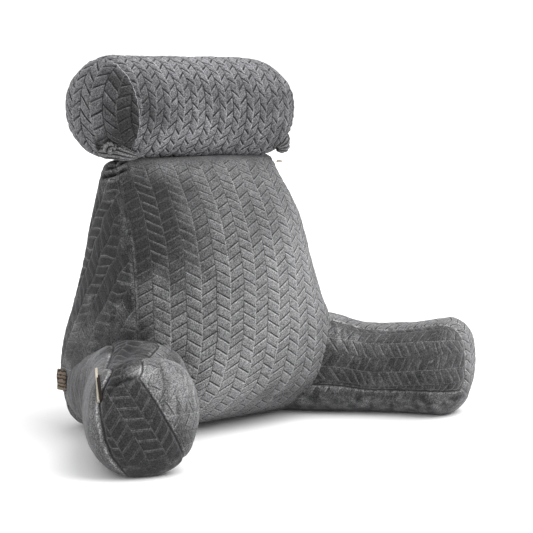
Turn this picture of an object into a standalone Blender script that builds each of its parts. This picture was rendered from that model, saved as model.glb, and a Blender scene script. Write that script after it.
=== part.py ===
"""Reading pillow with arms: a stuffed wedge backrest, two stuffed arms and a neck roll tied on top.

Metres, +Z up. The front faces -Y, the pillow stands on z = 0 and its box is centred on X and Y."""

import bmesh
import bpy
import numpy as np
from mathutils import Matrix, Vector

CENTRING = (-0.0077, 0.0061, 0.0)  # brings the middle of the whole box to x = y = 0

GAP = 0.0004  # clearance left between pieces that press on each other
SEAM_PULL = 0.0035  # how far a sewn seam is drawn into the filling
PUCKER = 0.0012  # how much the pull changes along a seam
PUCKER_PITCH = 0.045

# Backrest: one row per height. front and back are the seam lines' Y, half_width is
# their X, and each crown is how far the panel between two seams bulges out.
BACKREST_COLUMNS = ("height", "front", "back", "half_width", "front_crown", "side_crown", "back_crown")
BACKREST = (
    (0.000, 0.036, 0.199, 0.203, 0.000, 0.006, 0.008),
    (0.035, 0.012, 0.208, 0.207, 0.026, 0.008, 0.012),
    (0.070, -0.012, 0.212, 0.213, 0.041, 0.010, 0.015),
    (0.110, -0.021, 0.206, 0.220, 0.050, 0.011, 0.016),
    (0.160, -0.018, 0.190, 0.223, 0.059, 0.012, 0.018),
    (0.220, 0.000, 0.175, 0.213, 0.071, 0.012, 0.020),
    (0.290, 0.019, 0.161, 0.202, 0.075, 0.011, 0.019),
    (0.360, 0.041, 0.146, 0.196, 0.065, 0.010, 0.018),
    (0.430, 0.078, 0.134, 0.184, 0.049, 0.006, 0.012),
    (0.464, 0.096, 0.128, 0.177, 0.036, 0.003, 0.008),
)
FOOT_RADIUS = 0.030
HEAD_RADIUS = 0.014
PANEL_STEPS = (22, 6, 12, 6)  # places between the seams of each panel
CROWN_POWERS = (2.6, 2.0, 2.2, 2.0)  # front, sides and back: over 2 is fuller beside the seams

# Arm: one row per section along its middle line. x counts outwards from the middle of the
# pillow. The soft arms splay by themselves, so each has its own rows.
ARM_COLUMNS = ("x", "y", "half_height", "half_width")
ARMS = {
    "arm_left": (
        (0.134, 0.170, 0.071, 0.084),
        (0.173, 0.073, 0.080, 0.086),
        (0.214, -0.007, 0.089, 0.083),
        (0.266, -0.063, 0.080, 0.082),
        (0.308, -0.118, 0.080, 0.080),
        (0.338, -0.173, 0.091, 0.086),
        (0.361, -0.226, 0.097, 0.091),
    ),
    "arm_right": (
        (0.134, 0.170, 0.071, 0.084),
        (0.183, 0.084, 0.080, 0.086),
        (0.234, 0.013, 0.089, 0.083),
        (0.287, -0.042, 0.080, 0.082),
        (0.329, -0.097, 0.080, 0.080),
        (0.360, -0.152, 0.086, 0.081),
        (0.383, -0.205, 0.090, 0.084),
    ),
}
ARM_POWERS = (2.55, 2.25)  # squareness of the section above and below its middle
ARM_SINK = 0.003  # how much of each section is pressed flat on the floor
ARM_SEAMS = (75.0, 150.0, 253.0, 334.0)  # degrees round the section, 0 towards the lap, 90 up
ARM_END = 0.055  # length over which the stuffed end rounds off
ARM_END_POWER = 2.3
ARM_ROOT = 0.020

# Neck roll: a stuffed cylinder with crowned ends, lying along X.
ROLL_CENTRE = (-0.0085, 0.117, 0.545)
ROLL_HALF = 0.226
ROLL_RADIUS = 0.089
ROLL_TAPER = 0.039  # the +X end is fuller than the middle by this share
ROLL_TILT = 0.0266  # radians about Y: the -X end is higher
ROLL_CROWNS = (0.077, 0.110)  # how far each end rounds off, -X then +X
ROLL_CROWN_POWER = 2.3

# Tie: a soft band of gathered cloth between the neck roll and the backrest's top corner,
# with a knot. One row per point of its middle line, for the tie on the +X side.
TIE_COLUMNS = ("x", "y", "z", "radius")
TIE = (
    (0.201, 0.104, 0.474, 0.0035),
    (0.199, 0.094, 0.475, 0.0080),
    (0.194, 0.081, 0.475, 0.0095),
    (0.183, 0.070, 0.472, 0.0085),
    (0.171, 0.063, 0.470, 0.0080),
    (0.162, 0.058, 0.470, 0.0035),
)
TIE_RING = 14
KNOT_CENTRE = (0.203, 0.073, 0.485)
KNOT_RADII = (0.0100, 0.0085, 0.0095)

# Sewn-in trim. Each is a strip of ribbon: width, height and thickness.
LABEL_SIZE = (0.026, 0.038, 0.0016)
LABEL_CENTRE = (-0.2240, 0.1890, 0.084)
SEAM_TAB_SIZE = (0.014, 0.056, 0.0024)
SEAM_TAB_FOOT = (-0.4225, -0.1780, 0.124)
SEAM_TAB_HEAD = (-0.3970, -0.1350, 0.167)
TOP_TAB_SIZE = (0.014, 0.005, 0.0016)
TOP_TAB_CENTRE = (0.1852, 0.0840, 0.4470)

BODY_CLOTH = (0.105, 0.105, 0.110)
ROLL_CLOTH = (0.125, 0.122, 0.135)
LABEL_BROWN = (0.160, 0.105, 0.070)
RIBBON_CREAM = (0.760, 0.720, 0.620)


def material(name, colour, roughness):
    made = bpy.data.materials.new(name)
    made.use_nodes = True
    shader = made.node_tree.nodes["Principled BSDF"]
    shader.inputs["Base Color"].default_value = (*colour, 1.0)
    shader.inputs["Roughness"].default_value = roughness
    shader.inputs["Metallic"].default_value = 0.0
    made.diffuse_color = (*colour, 1.0)
    return made


def through(rows, at):
    """The rows' values at one place in their first column, on a smooth curve through them all."""
    table = np.asarray(rows, float)
    xs, ys = table[:, 0], table[:, 1:]
    steps = np.diff(xs)
    slopes = np.diff(ys, axis=0) / steps[:, None]
    tangents = np.vstack([slopes[:1], np.zeros_like(slopes[1:]), slopes[-1:]])
    weights = (steps[:-1] + steps[1:])[:, None]
    tangents[1:-1] = (slopes[:-1] * steps[1:, None] + slopes[1:] * steps[:-1, None]) / weights
    k = int(np.clip(np.searchsorted(xs, at) - 1, 0, len(xs) - 2))
    t = (at - xs[k]) / steps[k]
    return (
        (2 * t**3 - 3 * t**2 + 1) * ys[k]
        + (t**3 - 2 * t**2 + t) * steps[k] * tangents[k]
        + (3 * t**2 - 2 * t**3) * ys[k + 1]
        + (t**3 - t**2) * steps[k] * tangents[k + 1]
    )


def pull_at(along):
    """How far a seam is drawn in at a place along it: the stitches pucker the cloth."""
    return SEAM_PULL + PUCKER * np.sin(2 * np.pi * along / PUCKER_PITCH)


def object_from_bmesh(name, bm, place=None, cloth=None):
    """An object of this mesh, at a place, and carried with the whole pillow."""
    mesh = bpy.data.meshes.new(name)
    bm.to_mesh(mesh)
    bm.free()
    mesh.shade_smooth()
    mesh.set_sharp_from_angle(angle=np.radians(55))
    made = bpy.data.objects.new(name, mesh)
    bpy.context.scene.collection.objects.link(made)
    made.parent = bpy.data.objects["reading_pillow"]
    if place:
        made.matrix_basis = place
    if cloth:
        mesh.materials.append(cloth)
    return made


def object_from_rings(name, rings, place=None, cloth=None):
    """A closed object skinned over a list of rings with as many points each."""
    bm = bmesh.new()
    loops = [[bm.verts.new(point) for point in ring] for ring in rings]
    count = len(loops[0])
    for lower, upper in zip(loops, loops[1:]):
        for i in range(count):
            j = (i + 1) % count
            bm.faces.new((lower[i], lower[j], upper[j], upper[i]))
    bm.faces.new(loops[0][::-1])
    bm.faces.new(loops[-1])
    bmesh.ops.recalc_face_normals(bm, faces=bm.faces)
    return object_from_bmesh(name, bm, place, cloth)


def clearance_of(piece):
    """A copy of a piece, larger all round by the clearance, to trim what presses on it."""
    bm = bmesh.new()
    bm.from_mesh(piece.data)
    bm.normal_update()
    for vert in bm.verts:
        vert.co += vert.normal * GAP
    made = object_from_bmesh("clearance_" + piece.name, bm, piece.matrix_basis)
    made.hide_render = True
    made.display_type = "WIRE"
    return made


def combine(piece, other, operation):
    step = piece.modifiers.new(operation.lower() + "_" + other.name, "BOOLEAN")
    step.operation = operation
    step.solver = "EXACT"
    step.object = other


def panel_steps(count):
    """Places across a panel, closer together beside its seams."""
    return np.concatenate([[0.0, 0.025], np.linspace(0.07, 0.93, count), [0.975]])


def rounded_in(depth, radius):
    """How far an edge of this radius has turned in, this far from its face."""
    return radius - np.sqrt(max(radius**2 - (radius - min(depth, radius)) ** 2, 0.0))


def backrest_ring(height):
    front, back, half, front_crown, side_crown, back_crown = through(BACKREST, height)
    inset = rounded_in(height, FOOT_RADIUS) + rounded_in(BACKREST[-1][0] - height, HEAD_RADIUS)
    front, back, half = front + inset, back - inset, half - inset
    corners = [np.array(c) for c in ((-half, front), (half, front), (half, back), (-half, back))]
    crowns = (front_crown, side_crown, back_crown, side_crown)
    middle = np.array((0.0, (front + back) / 2))
    ring = []
    for k, (crown, power, count) in enumerate(zip(crowns, CROWN_POWERS, PANEL_STEPS)):
        start, across = corners[k], corners[(k + 1) % 4] - corners[k]
        outward = np.array((across[1], -across[0])) / np.linalg.norm(across)
        for t in panel_steps(count):
            point = start + across * t + outward * crown * (1 - abs(2 * t - 1) ** power)
            if t == 0.0:
                inward = (middle - start) / np.linalg.norm(middle - start)
                point = point + inward * pull_at(height)
            ring.append((*point, height))
    return ring


def make_backrest(cloth):
    top = BACKREST[-1][0]
    foot = FOOT_RADIUS * (1 - np.cos(np.linspace(0, np.pi / 2, 5)))
    head = top - HEAD_RADIUS * (1 - np.sin(np.linspace(0, np.pi / 2, 4)))
    body = np.linspace(FOOT_RADIUS, top - HEAD_RADIUS, 30)[1:-1]
    rings = [backrest_ring(height) for height in (*foot, *body, *head)]
    return object_from_rings("backrest", rings, cloth=cloth)


def arm_rows(name):
    """The arm's rows with their distance along its middle line put first."""
    rows, along = [], 0.0
    last = ARMS[name][0]
    for row in ARMS[name]:
        along += np.hypot(row[0] - last[0], row[1] - last[1])
        rows.append((along, *row))
        last = row
    return rows


def arm_angles():
    """Angles round a section in degrees, each with whether a seam runs there."""
    angles = []
    for start, end in zip(ARM_SEAMS, (*ARM_SEAMS[1:], ARM_SEAMS[0] + 360)):
        between = np.linspace(start + 6, end - 6, max(3, round((end - start) / 15)))
        angles += [(start, True), *((angle, False) for angle in between)]
    return angles


def arm_ring(rows, along, side):
    x, y, high, wide = through(rows, along)
    ahead = through(rows, along + 1e-3)[:2] - through(rows, along - 1e-3)[:2]
    lapward = np.array((ahead[1], -ahead[0])) / np.linalg.norm(ahead)
    beyond = max((along - rows[-1][0] + ARM_END) / ARM_END, 0.0)
    swell = (1 - beyond**ARM_END_POWER) ** (1 / ARM_END_POWER)
    if along < ARM_ROOT:
        swell = np.sqrt(1 - (1 - along / ARM_ROOT) ** 2)
    ring = []
    for angle, is_seam in arm_angles():
        c, s = np.cos(np.radians(angle)), np.sin(np.radians(angle))
        power = ARM_POWERS[0] if s > 0 else ARM_POWERS[1]
        reach = (abs(c) ** power + abs(s) ** power) ** (-1 / power)
        if is_seam and not beyond:
            reach -= pull_at(along) / high
        across, up = reach * c * wide * swell, reach * s * high * swell
        height = max(high - ARM_SINK + up, 0.0)
        ring.append((side * (x + lapward[0] * across), y + lapward[1] * across, height))
    return ring


def make_arm(name, side, cloth):
    rows = arm_rows(name)
    last = rows[-1][0]
    root = ARM_ROOT * (1 - np.cos(np.linspace(0.1, np.pi / 2, 4)))
    body = np.linspace(ARM_ROOT, last - ARM_END, 19)[1:-1]
    end = last - ARM_END * (1 - np.sin(np.linspace(0, np.pi / 2 - 0.04, 8)))
    rings = [arm_ring(rows, along, side) for along in (*root, *body, *end)]
    return object_from_rings(name, rings, cloth=cloth)


def make_roll(cloth):
    """The neck roll, round its own X axis and then tilted and put in its place."""
    turn = np.linspace(0.06, np.pi / 2, 8)
    left = -ROLL_HALF + ROLL_CROWNS[0] * (1 - np.cos(turn))
    right = ROLL_HALF - ROLL_CROWNS[1] * (1 - np.cos(turn[::-1]))
    body = np.linspace(left[-1], right[0], 10)[1:-1]
    rings = []
    for along in (*left, *body, *right):
        crown = ROLL_CROWNS[0] if along < 0 else ROLL_CROWNS[1]
        beyond = max((abs(along) - ROLL_HALF + crown) / crown, 0.0)
        radius = ROLL_RADIUS * (1 + ROLL_TAPER * along / ROLL_HALF)
        radius *= (1 - beyond**ROLL_CROWN_POWER) ** (1 / ROLL_CROWN_POWER)
        angles = np.linspace(0, 2 * np.pi, 40, endpoint=False)
        rings.append([(along, radius * np.cos(a), radius * np.sin(a)) for a in angles])
    place = Matrix.Translation(ROLL_CENTRE) @ Matrix.Rotation(ROLL_TILT, 4, "Y")
    return object_from_rings("neck_roll", rings, place, cloth)


def make_tie(name, side, cloth):
    """A gathered band along the tie's middle line, joined to its knot."""
    points = [Vector((side * x, y, z)) for x, y, z, _ in TIE]
    rings = []
    for k, (point, row) in enumerate(zip(points, TIE)):
        ahead = (points[min(k + 1, len(TIE) - 1)] - points[max(k - 1, 0)]).normalized()
        out = ahead.cross(Vector((0, 0, 1))).normalized()
        up = out.cross(ahead)
        angles = np.linspace(0, 2 * np.pi, TIE_RING, endpoint=False)
        rings.append([point + row[3] * (out * np.cos(a) + up * np.sin(a)) for a in angles])
    band = object_from_rings(name, rings, cloth=cloth)

    bm = bmesh.new()
    bmesh.ops.create_uvsphere(bm, u_segments=12, v_segments=8, radius=1.0)
    x, y, z = KNOT_CENTRE
    place = Matrix.Translation((side * x, y, z))
    bmesh.ops.transform(bm, matrix=Matrix.Diagonal((*KNOT_RADII, 1.0)), verts=bm.verts)
    knot = object_from_bmesh("knot_of_" + name, bm, place)
    knot.hide_render = True
    knot.display_type = "WIRE"
    combine(band, knot, "UNION")
    return band


def make_strip(name, size, place, cloth):
    """A piece of ribbon: its width along X, its height along Z and its thickness along Y."""
    bm = bmesh.new()
    bmesh.ops.create_cube(bm, size=1.0)
    wide, high, thick = size
    bmesh.ops.transform(bm, matrix=Matrix.Diagonal((wide, thick, high, 1.0)), verts=bm.verts)
    return object_from_bmesh(name, bm, place, cloth)


def upright_between(foot, head, facing):
    """The place of a strip that stands from foot to head, its width pointing along facing."""
    foot, head = Vector(foot), Vector(head)
    up = (head - foot).normalized()
    thick = up.cross(Vector(facing)).normalized()
    wide = thick.cross(up)
    turn = Matrix((wide, thick, up)).transposed().to_4x4()
    return Matrix.Translation((foot + head) / 2) @ turn


def main():
    for old in list(bpy.data.objects):
        bpy.data.objects.remove(old)

    whole = bpy.data.objects.new("reading_pillow", None)
    bpy.context.scene.collection.objects.link(whole)
    whole.location = CENTRING

    body_cloth = material("velour_body", BODY_CLOTH, 0.9)
    roll_cloth = material("velour_roll", ROLL_CLOTH, 0.9)
    label_weave = material("label_weave", LABEL_BROWN, 0.8)
    ribbon = material("ribbon", RIBBON_CREAM, 0.7)

    backrest = make_backrest(body_cloth)
    around_backrest = clearance_of(backrest)
    arms = [make_arm(name, side, body_cloth) for name, side in (("arm_left", -1), ("arm_right", 1))]
    for arm in arms:
        combine(arm, around_backrest, "DIFFERENCE")
    around_left_arm = clearance_of(arms[0])

    roll = make_roll(roll_cloth)
    around_roll = clearance_of(roll)
    combine(roll, around_backrest, "DIFFERENCE")

    for name, side in (("neck_tie_left", -1), ("neck_tie_right", 1)):
        tie = make_tie(name, side, body_cloth)
        combine(tie, around_backrest, "DIFFERENCE")
        combine(tie, around_roll, "DIFFERENCE")

    edgewise = Matrix.Rotation(np.radians(90), 4, "Z")
    label = make_strip("side_label", LABEL_SIZE, Matrix.Translation(LABEL_CENTRE) @ edgewise, label_weave)
    combine(label, around_backrest, "DIFFERENCE")
    combine(label, around_left_arm, "DIFFERENCE")

    seam_tab_place = upright_between(SEAM_TAB_FOOT, SEAM_TAB_HEAD, (-0.78, -0.60, 0.10))
    seam_tab = make_strip("seam_tab", SEAM_TAB_SIZE, seam_tab_place, ribbon)
    combine(seam_tab, around_left_arm, "DIFFERENCE")

    top_tab = make_strip("top_tab", TOP_TAB_SIZE, Matrix.Translation(TOP_TAB_CENTRE), ribbon)
    combine(top_tab, around_backrest, "DIFFERENCE")


main()
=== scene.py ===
"""A reading pillow with arms and a neck roll, covered in charcoal velour embossed with plaited leaves."""

from types import SimpleNamespace

import bpy
import numpy as np
from mathutils import Matrix, Vector, noise
from mathutils.bvhtree import BVHTree


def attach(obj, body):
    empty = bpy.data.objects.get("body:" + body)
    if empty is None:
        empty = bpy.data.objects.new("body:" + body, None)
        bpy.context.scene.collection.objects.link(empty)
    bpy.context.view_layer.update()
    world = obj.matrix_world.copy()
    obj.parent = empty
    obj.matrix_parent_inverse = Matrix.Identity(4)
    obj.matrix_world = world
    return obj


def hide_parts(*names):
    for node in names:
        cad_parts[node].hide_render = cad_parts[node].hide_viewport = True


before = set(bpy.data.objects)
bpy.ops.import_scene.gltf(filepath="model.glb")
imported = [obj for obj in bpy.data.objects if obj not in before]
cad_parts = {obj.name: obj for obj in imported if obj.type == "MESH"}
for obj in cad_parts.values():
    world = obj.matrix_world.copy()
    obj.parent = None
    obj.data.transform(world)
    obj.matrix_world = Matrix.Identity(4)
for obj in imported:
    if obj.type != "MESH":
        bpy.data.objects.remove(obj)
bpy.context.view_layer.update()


# ------------------------------------------------------------------------------
# Backrest: a stuffed wedge of velour. A full front panel, two side gussets and a back
# panel are sewn together down the four corners, and the leaves run on down to the floor.
# ------------------------------------------------------------------------------
MIDDLE = np.array((-0.0077, 0.0061, 0.0))  # the pillow's own middle, in the frame
# height, then where the seams lie (front and back y, half width) and each panel's crown
BACKREST_ROWS = (
    (0.000, 0.036, 0.199, 0.203, 0.000, 0.006, 0.008),
    (0.035, 0.012, 0.208, 0.207, 0.026, 0.008, 0.012),
    (0.070, -0.012, 0.212, 0.213, 0.041, 0.010, 0.015),
    (0.110, -0.021, 0.206, 0.220, 0.050, 0.011, 0.016),
    (0.160, -0.018, 0.190, 0.223, 0.059, 0.012, 0.018),
    (0.220, 0.000, 0.175, 0.213, 0.071, 0.012, 0.020),
    (0.290, 0.019, 0.161, 0.202, 0.075, 0.011, 0.019),
    (0.360, 0.041, 0.146, 0.196, 0.065, 0.010, 0.018),
    (0.430, 0.078, 0.134, 0.184, 0.049, 0.006, 0.012),
    (0.464, 0.096, 0.128, 0.177, 0.036, 0.003, 0.008),
)
BACKREST_TOP = 0.464
FOOT_RADIUS = 0.030
HEAD_RADIUS = 0.014
PANELS = ((2.6, 216), (2.0, 64), (2.2, 76), (2.0, 64))  # crown fullness and steps: front, side, back, side


def along_rows(rows, at):
    """The rows' values at each place in their first column, on a smooth curve through them all."""
    table = np.asarray(rows, float)
    xs, ys = table[:, 0], table[:, 1:]
    steps = np.diff(xs)
    slopes = np.diff(ys, axis=0) / steps[:, None]
    tangents = np.vstack([slopes[:1], np.zeros_like(slopes[1:]), slopes[-1:]])
    weights = (steps[:-1] + steps[1:])[:, None]
    tangents[1:-1] = (slopes[:-1] * steps[1:, None] + slopes[1:] * steps[:-1, None]) / weights
    k = np.clip(np.searchsorted(xs, at) - 1, 0, len(xs) - 2)
    step = steps[k][:, None]
    t = (at - xs[k])[:, None] / step
    return (
        (2 * t**3 - 3 * t**2 + 1) * ys[k]
        + (t**3 - 2 * t**2 + t) * step * tangents[k]
        + (3 * t**2 - 2 * t**3) * ys[k + 1]
        + (t**3 - t**2) * step * tangents[k + 1]
    )


def running(steps):
    """The running total along the last axis, from 0."""
    totals = np.cumsum(steps, axis=-1)
    return np.concatenate([np.zeros_like(totals[..., :1]), totals], axis=-1)


def grid_of(*values):
    """Points or map places, each coordinate spread over the whole grid."""
    return np.stack(np.broadcast_arrays(*values), -1)


def unit(vectors):
    return vectors / (np.linalg.norm(vectors, axis=-1, keepdims=True) + 1e-12)


def rounded_in(depth, radius):
    """How far a rounded edge stands in at this depth from it."""
    depth = np.minimum(depth, radius)
    return radius - np.sqrt(np.maximum(radius**2 - (radius - depth) ** 2, 0.0))


def backrest_rings(heights):
    """The backrest's points at each height, and for each panel the width measured along the cloth."""
    front, back, half, front_crown, side_crown, back_crown = along_rows(BACKREST_ROWS, heights).T
    inset = rounded_in(heights, FOOT_RADIUS) + rounded_in(BACKREST_TOP - heights, HEAD_RADIUS)
    front, back, half = front + inset, back - inset, half - inset
    corners = [np.stack(c, -1) for c in ((-half, front), (half, front), (half, back), (-half, back))]
    crowns = (front_crown, side_crown, back_crown, side_crown)
    rings, widths = [], []
    for k, (crown, (power, steps)) in enumerate(zip(crowns, PANELS)):
        start, across = corners[k], corners[(k + 1) % 4] - corners[k]
        out = unit(np.stack((across[:, 1], -across[:, 0]), -1))
        t = np.linspace(0, 1, steps + 1)
        bulge = crown[:, None] * (1 - abs(2 * t - 1) ** power)
        panel = start[:, None] + across[:, None] * t[None, :, None] + out[:, None] * bulge[..., None]
        widths.append(running(np.linalg.norm(np.diff(panel, axis=1), axis=-1)))
        rings.append(panel[:, :-1])
    flat = np.concatenate(rings, axis=1)
    return grid_of(flat[..., 0], flat[..., 1], heights[:, None]) + MIDDLE, widths


foot = FOOT_RADIUS * (1 - np.cos(np.linspace(0, np.pi / 2, 17)))
head = BACKREST_TOP - HEAD_RADIUS * (1 - np.sin(np.linspace(0, np.pi / 2, 9)))
heights = np.concatenate([foot, np.linspace(FOOT_RADIUS, BACKREST_TOP - HEAD_RADIUS, 172)[1:-1], head])
points, widths = backrest_rings(heights)
tall = np.broadcast_to(heights[:, None], points.shape[:2])
starts = running([steps for _, steps in PANELS])
past_front, last_gusset = slice(starts[1], None), slice(starts[3], None)

# how the embossed cloth of each panel is cut
LEAF_RISE = 0.78  # how far a leaf's slanted line rises across its column, in leaf lengths
LEAF_LENGTH = 0.0185  # from one slanted line to the next
LEAF_PITCH = 0.0269  # width of one embossed column
COVER_LEAF = (LEAF_RISE, LEAF_LENGTH, LEAF_PITCH)
COLUMN_LEAN = 0.12446  # the front panel is cut a little off the straight
FRONT_START = (8.26, 0.0115)  # where its columns and its leaves are counted from
GUSSET_PITCH = 0.0315
GUSSET_START = 0.209
GUSSET_SLANT = (0.49, 0.90, 0.44)  # how the gussets' columns lean, and how their leaves climb them


def ramp(values, low, high):
    """0 below low, 1 above high and a smooth step between."""
    t = np.clip((values - low) / (high - low), 0.0, 1.0)
    return t * t * (3 - 2 * t)


def soft_noise(points, size, seed):
    """Smooth noise from -1 to 1 at each point, its lumps about this size."""
    flat = points.reshape(-1, 3) / size + seed * 17.3
    return np.array([noise.noise(p) for p in flat.tolist()]).reshape(points.shape[:-1])


def wandering(points, size, seed, reach):
    """How far the cloth's columns and leaves stray from their places, in columns and leaves."""
    return np.stack([soft_noise(points, size, seed), soft_noise(points, size, seed + 1)], -1) * reach


climb = running(np.linalg.norm(np.diff(points[:, starts[1] // 2], axis=0), axis=1))
climb = (climb - np.interp(0.25, heights, climb))[:, None]

cloth_left = np.zeros((*points.shape[:2], 2))
cloth_right = np.zeros((*points.shape[:2], 2))
seam = np.zeros(points.shape[:2])
for k, width in enumerate(widths):
    here = slice(starts[k], starts[k + 1])
    whole = width[:, -1:]
    if k == 0:  # the front panel
        across = (width - whole / 2 - COLUMN_LEAN * climb) / LEAF_PITCH + FRONT_START[0]
        up = (climb + FRONT_START[1]) / LEAF_LENGTH
    elif k == 2:  # the back panel
        across = (width - whole / 2) / LEAF_PITCH
        up = climb / LEAF_LENGTH
    else:  # a gusset, with its leaves laid out on its depth and height
        y = np.roll(points[..., 1], -starts[k], axis=1)[:, : width.shape[1]] - MIDDLE[1]
        across = (y + GUSSET_SLANT[0] * heights[:, None] - GUSSET_START) / GUSSET_PITCH + (k == 3)
        up = (GUSSET_SLANT[1] * heights[:, None] - GUSSET_SLANT[2] * y) / LEAF_LENGTH
    panel = grid_of(across, up)
    cloth_left[:, here], cloth_right[:, here] = panel[:, :-1], panel[:, 1:]
    seam[:, here] = np.minimum(width, whole - width)[:, :-1]

wander = wandering(points, 0.075, 1, (0.07, 0.10))
astray = wandering(points, 0.032, 23, (0.26, 0.34)) * ramp(seam, 0.004, 0.030)[..., None]
wander[:, past_front] += astray[:, past_front]
cloth_left += wander
cloth_right += np.roll(wander, -1, axis=1)

# how the cover's surface is shaped: its leaves, its fullness, its seams and its creases
LEAF_GROOVE = 0.0012
LEAF_HEIGHT = 0.0012
GUSSET_LEAF_HEIGHT = 0.0007
BACKREST_LUMPS = ((0.055, 0.0022, 3), (0.022, 0.0007, 4))  # size, height and seed of the soft lumps
BACKREST_SEAM = ((0.0048, 0.0060), (0.0015, 0.018))  # depth and reach of a seam's valley, and beside it
BACKREST_PUCKER = 0.0011
BACK_FLATNESS = (0.75, 0.08, 0.16)  # how much of the lumps the back loses, and between which depths
WORN_AWAY = 0.8  # how much of the leaves' height is gone in the middle of a worn place
# middle and radius of the places where handling has flattened the leaves
BACKREST_WORN = (
    (-0.198, 0.045, 0.345, 0.030),
    (-0.222, 0.130, 0.110, 0.055),
    (-0.212, 0.035, 0.150, 0.050),
)
# each crease: its width and depth, then the places it runs through
BACKREST_CREASES = (
    (
        0.0032, 0.008, (-0.1885, 0.125, 0.4332), (-0.1884, 0.1027, 0.4353), (-0.185, 0.0907, 0.4387),
        (-0.1774, 0.0842, 0.4429), (-0.166, 0.079, 0.448),
    ),
    (
        0.003, 0.007, (-0.184, 0.105, 0.448), (-0.1808, 0.0932, 0.4509), (-0.1698, 0.091, 0.4564),
        (-0.1563, 0.0921, 0.4609),
    ),
    (0.005, 0.0025, (-0.207, 0.026, 0.265), (-0.201, 0.033, 0.305), (-0.199, 0.04, 0.34)),
    (0.006, 0.002, (-0.2287, 0.0407, 0.1872), (-0.219, 0.0445, 0.2357)),
    (0.004, 0.004, (0.18, 0.1, 0.444), (0.165, 0.083, 0.454)),
    (
        0.004, 0.0018, (0.0392, -0.0312, 0.0494), (0.07, -0.026, 0.046), (0.099, -0.0252, 0.048),
        (0.13, -0.02, 0.056),
    ),
)


def bell(values, width):
    """1 at 0, falling off to each side."""
    return np.exp(-((values / width) ** 2))


def nearness(points, middle, radius):
    """1 at a place on the pillow, fading out over about this radius."""
    return bell(np.linalg.norm(points - MIDDLE - middle, axis=-1), radius)


def lumpy(points, lumps):
    """Soft lumps of several sizes, each with its height and seed, added up."""
    return sum(soft_noise(points, size, seed) * height for size, height, seed in lumps)


def gathers(run, away, seed):
    """Small uneven folds that run square to a seam."""
    return soft_noise(grid_of(run, 0.22 * away, 0.0), 0.0065, seed)


def drawn_in(seam, valley, beside):
    """How deep a seam draws the cloth in. Both parts are a depth and a reach."""
    return valley[0] * bell(seam, valley[1]) + beside[0] * np.exp(-seam / beside[1])


def line_step(leaf):
    """From one slanted line to the next, square to the lines. A leaf is its rise, length and pitch."""
    rise, length, pitch = leaf
    return length * float(np.cos(np.arctan2(rise * length, pitch)))


def leaf_relief(cloth, leaf, groove):
    """The emboss: 1 on a leaf, 0 in the groove round it. cloth counts columns and leaves."""
    across, up = cloth[..., 0], cloth[..., 1]
    column = np.floor(across)
    t = across - column
    lines = np.where(column % 2 == 1, up - 0.5 + leaf[0] * t, up + leaf[0] * (1 - t))
    to_line = abs(lines - np.round(lines)) * line_step(leaf)
    near = np.minimum(to_line, np.minimum(t, 1 - t) * leaf[2])
    return 0.6 * (1 - bell(near, groove)) + 0.4 * np.clip(near / (3.2 * groove), 0, 1) ** 0.7


def facing_of(points):
    """1 where the grid's faces look outwards as they are wound, otherwise -1."""
    middle = points - points.mean(axis=1, keepdims=True)
    round_it = np.roll(points, -1, axis=1) - points
    normal = np.cross(round_it[:-1], points[1:] - points[:-1])
    return 1.0 if (normal * middle[:-1]).sum() > 0 else -1.0


def outward(points):
    """The normal at each point of a grid whose columns close round."""
    round_it = np.roll(points, -1, axis=1) - np.roll(points, 1, axis=1)
    return unit(np.cross(round_it, np.gradient(points, axis=0)) * facing_of(points))


def creased(points, normal, creases):
    """The cloth pressed in along each crease and puffed beside it, and how deep it is pressed."""
    pressed = np.zeros(points.shape[:-1])
    for width, depth, *path in creases:
        path = np.array(path) + MIDDLE
        lengths = np.linalg.norm(np.diff(path, axis=0), axis=1)
        nearest, share = np.full(points.shape[:-1], 9.0), np.zeros(points.shape[:-1])
        for k, (start, end) in enumerate(zip(path, path[1:])):
            run = end - start
            t = np.clip(((points - start) @ run) / (run @ run), 0, 1)
            away = np.linalg.norm(points - start - t[..., None] * run, axis=-1)
            share = np.where(away < nearest, (lengths[:k].sum() + t * lengths[k]) / lengths.sum(), share)
            nearest = np.minimum(nearest, away)
        taper = np.sqrt(np.clip(np.sin(np.pi * (0.06 + 0.88 * share)), 0, 1))
        puffed = 0.35 * bell(nearest - 2.4 * width, 1.2 * width)
        pressed = pressed + depth * taper * (bell(nearest, width) - puffed)
    return points - normal * pressed[..., None], pressed


def on_floor(points):
    """The points with none below the floor."""
    return np.concatenate([points[..., :2], np.maximum(points[..., 2:], 0.0)], axis=-1)


embossed = ramp(seam, 0.002, 0.006) * ramp(BACKREST_TOP - tall, 0.004, 0.016)
embossed *= 0.75 + 0.25 * ramp(BACKREST_TOP - tall, 0.010, 0.050)
for *middle, radius in BACKREST_WORN:
    embossed *= 1 - WORN_AWAY * nearness(points, middle, radius)

normal = outward(points)
lumps = lumpy(points, BACKREST_LUMPS)
lumps *= 1 - BACK_FLATNESS[0] * ramp(points[..., 1], *BACK_FLATNESS[1:])
pucker = gathers(tall, seam, 5) * np.exp(-seam / 0.008) * BACKREST_PUCKER
leaf_height = np.full(points.shape[:2], LEAF_HEIGHT)
leaf_height[:, last_gusset] = GUSSET_LEAF_HEIGHT
lift = (lumps + pucker - drawn_in(seam, *BACKREST_SEAM)) * ramp(tall, 0.002, 0.02)
lift += (leaf_relief(cloth_left, COVER_LEAF, LEAF_GROOVE) - 0.7) * leaf_height * embossed
points, pressed = creased(points + normal * lift[..., None], normal, BACKREST_CREASES)
points = on_floor(points)

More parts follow.
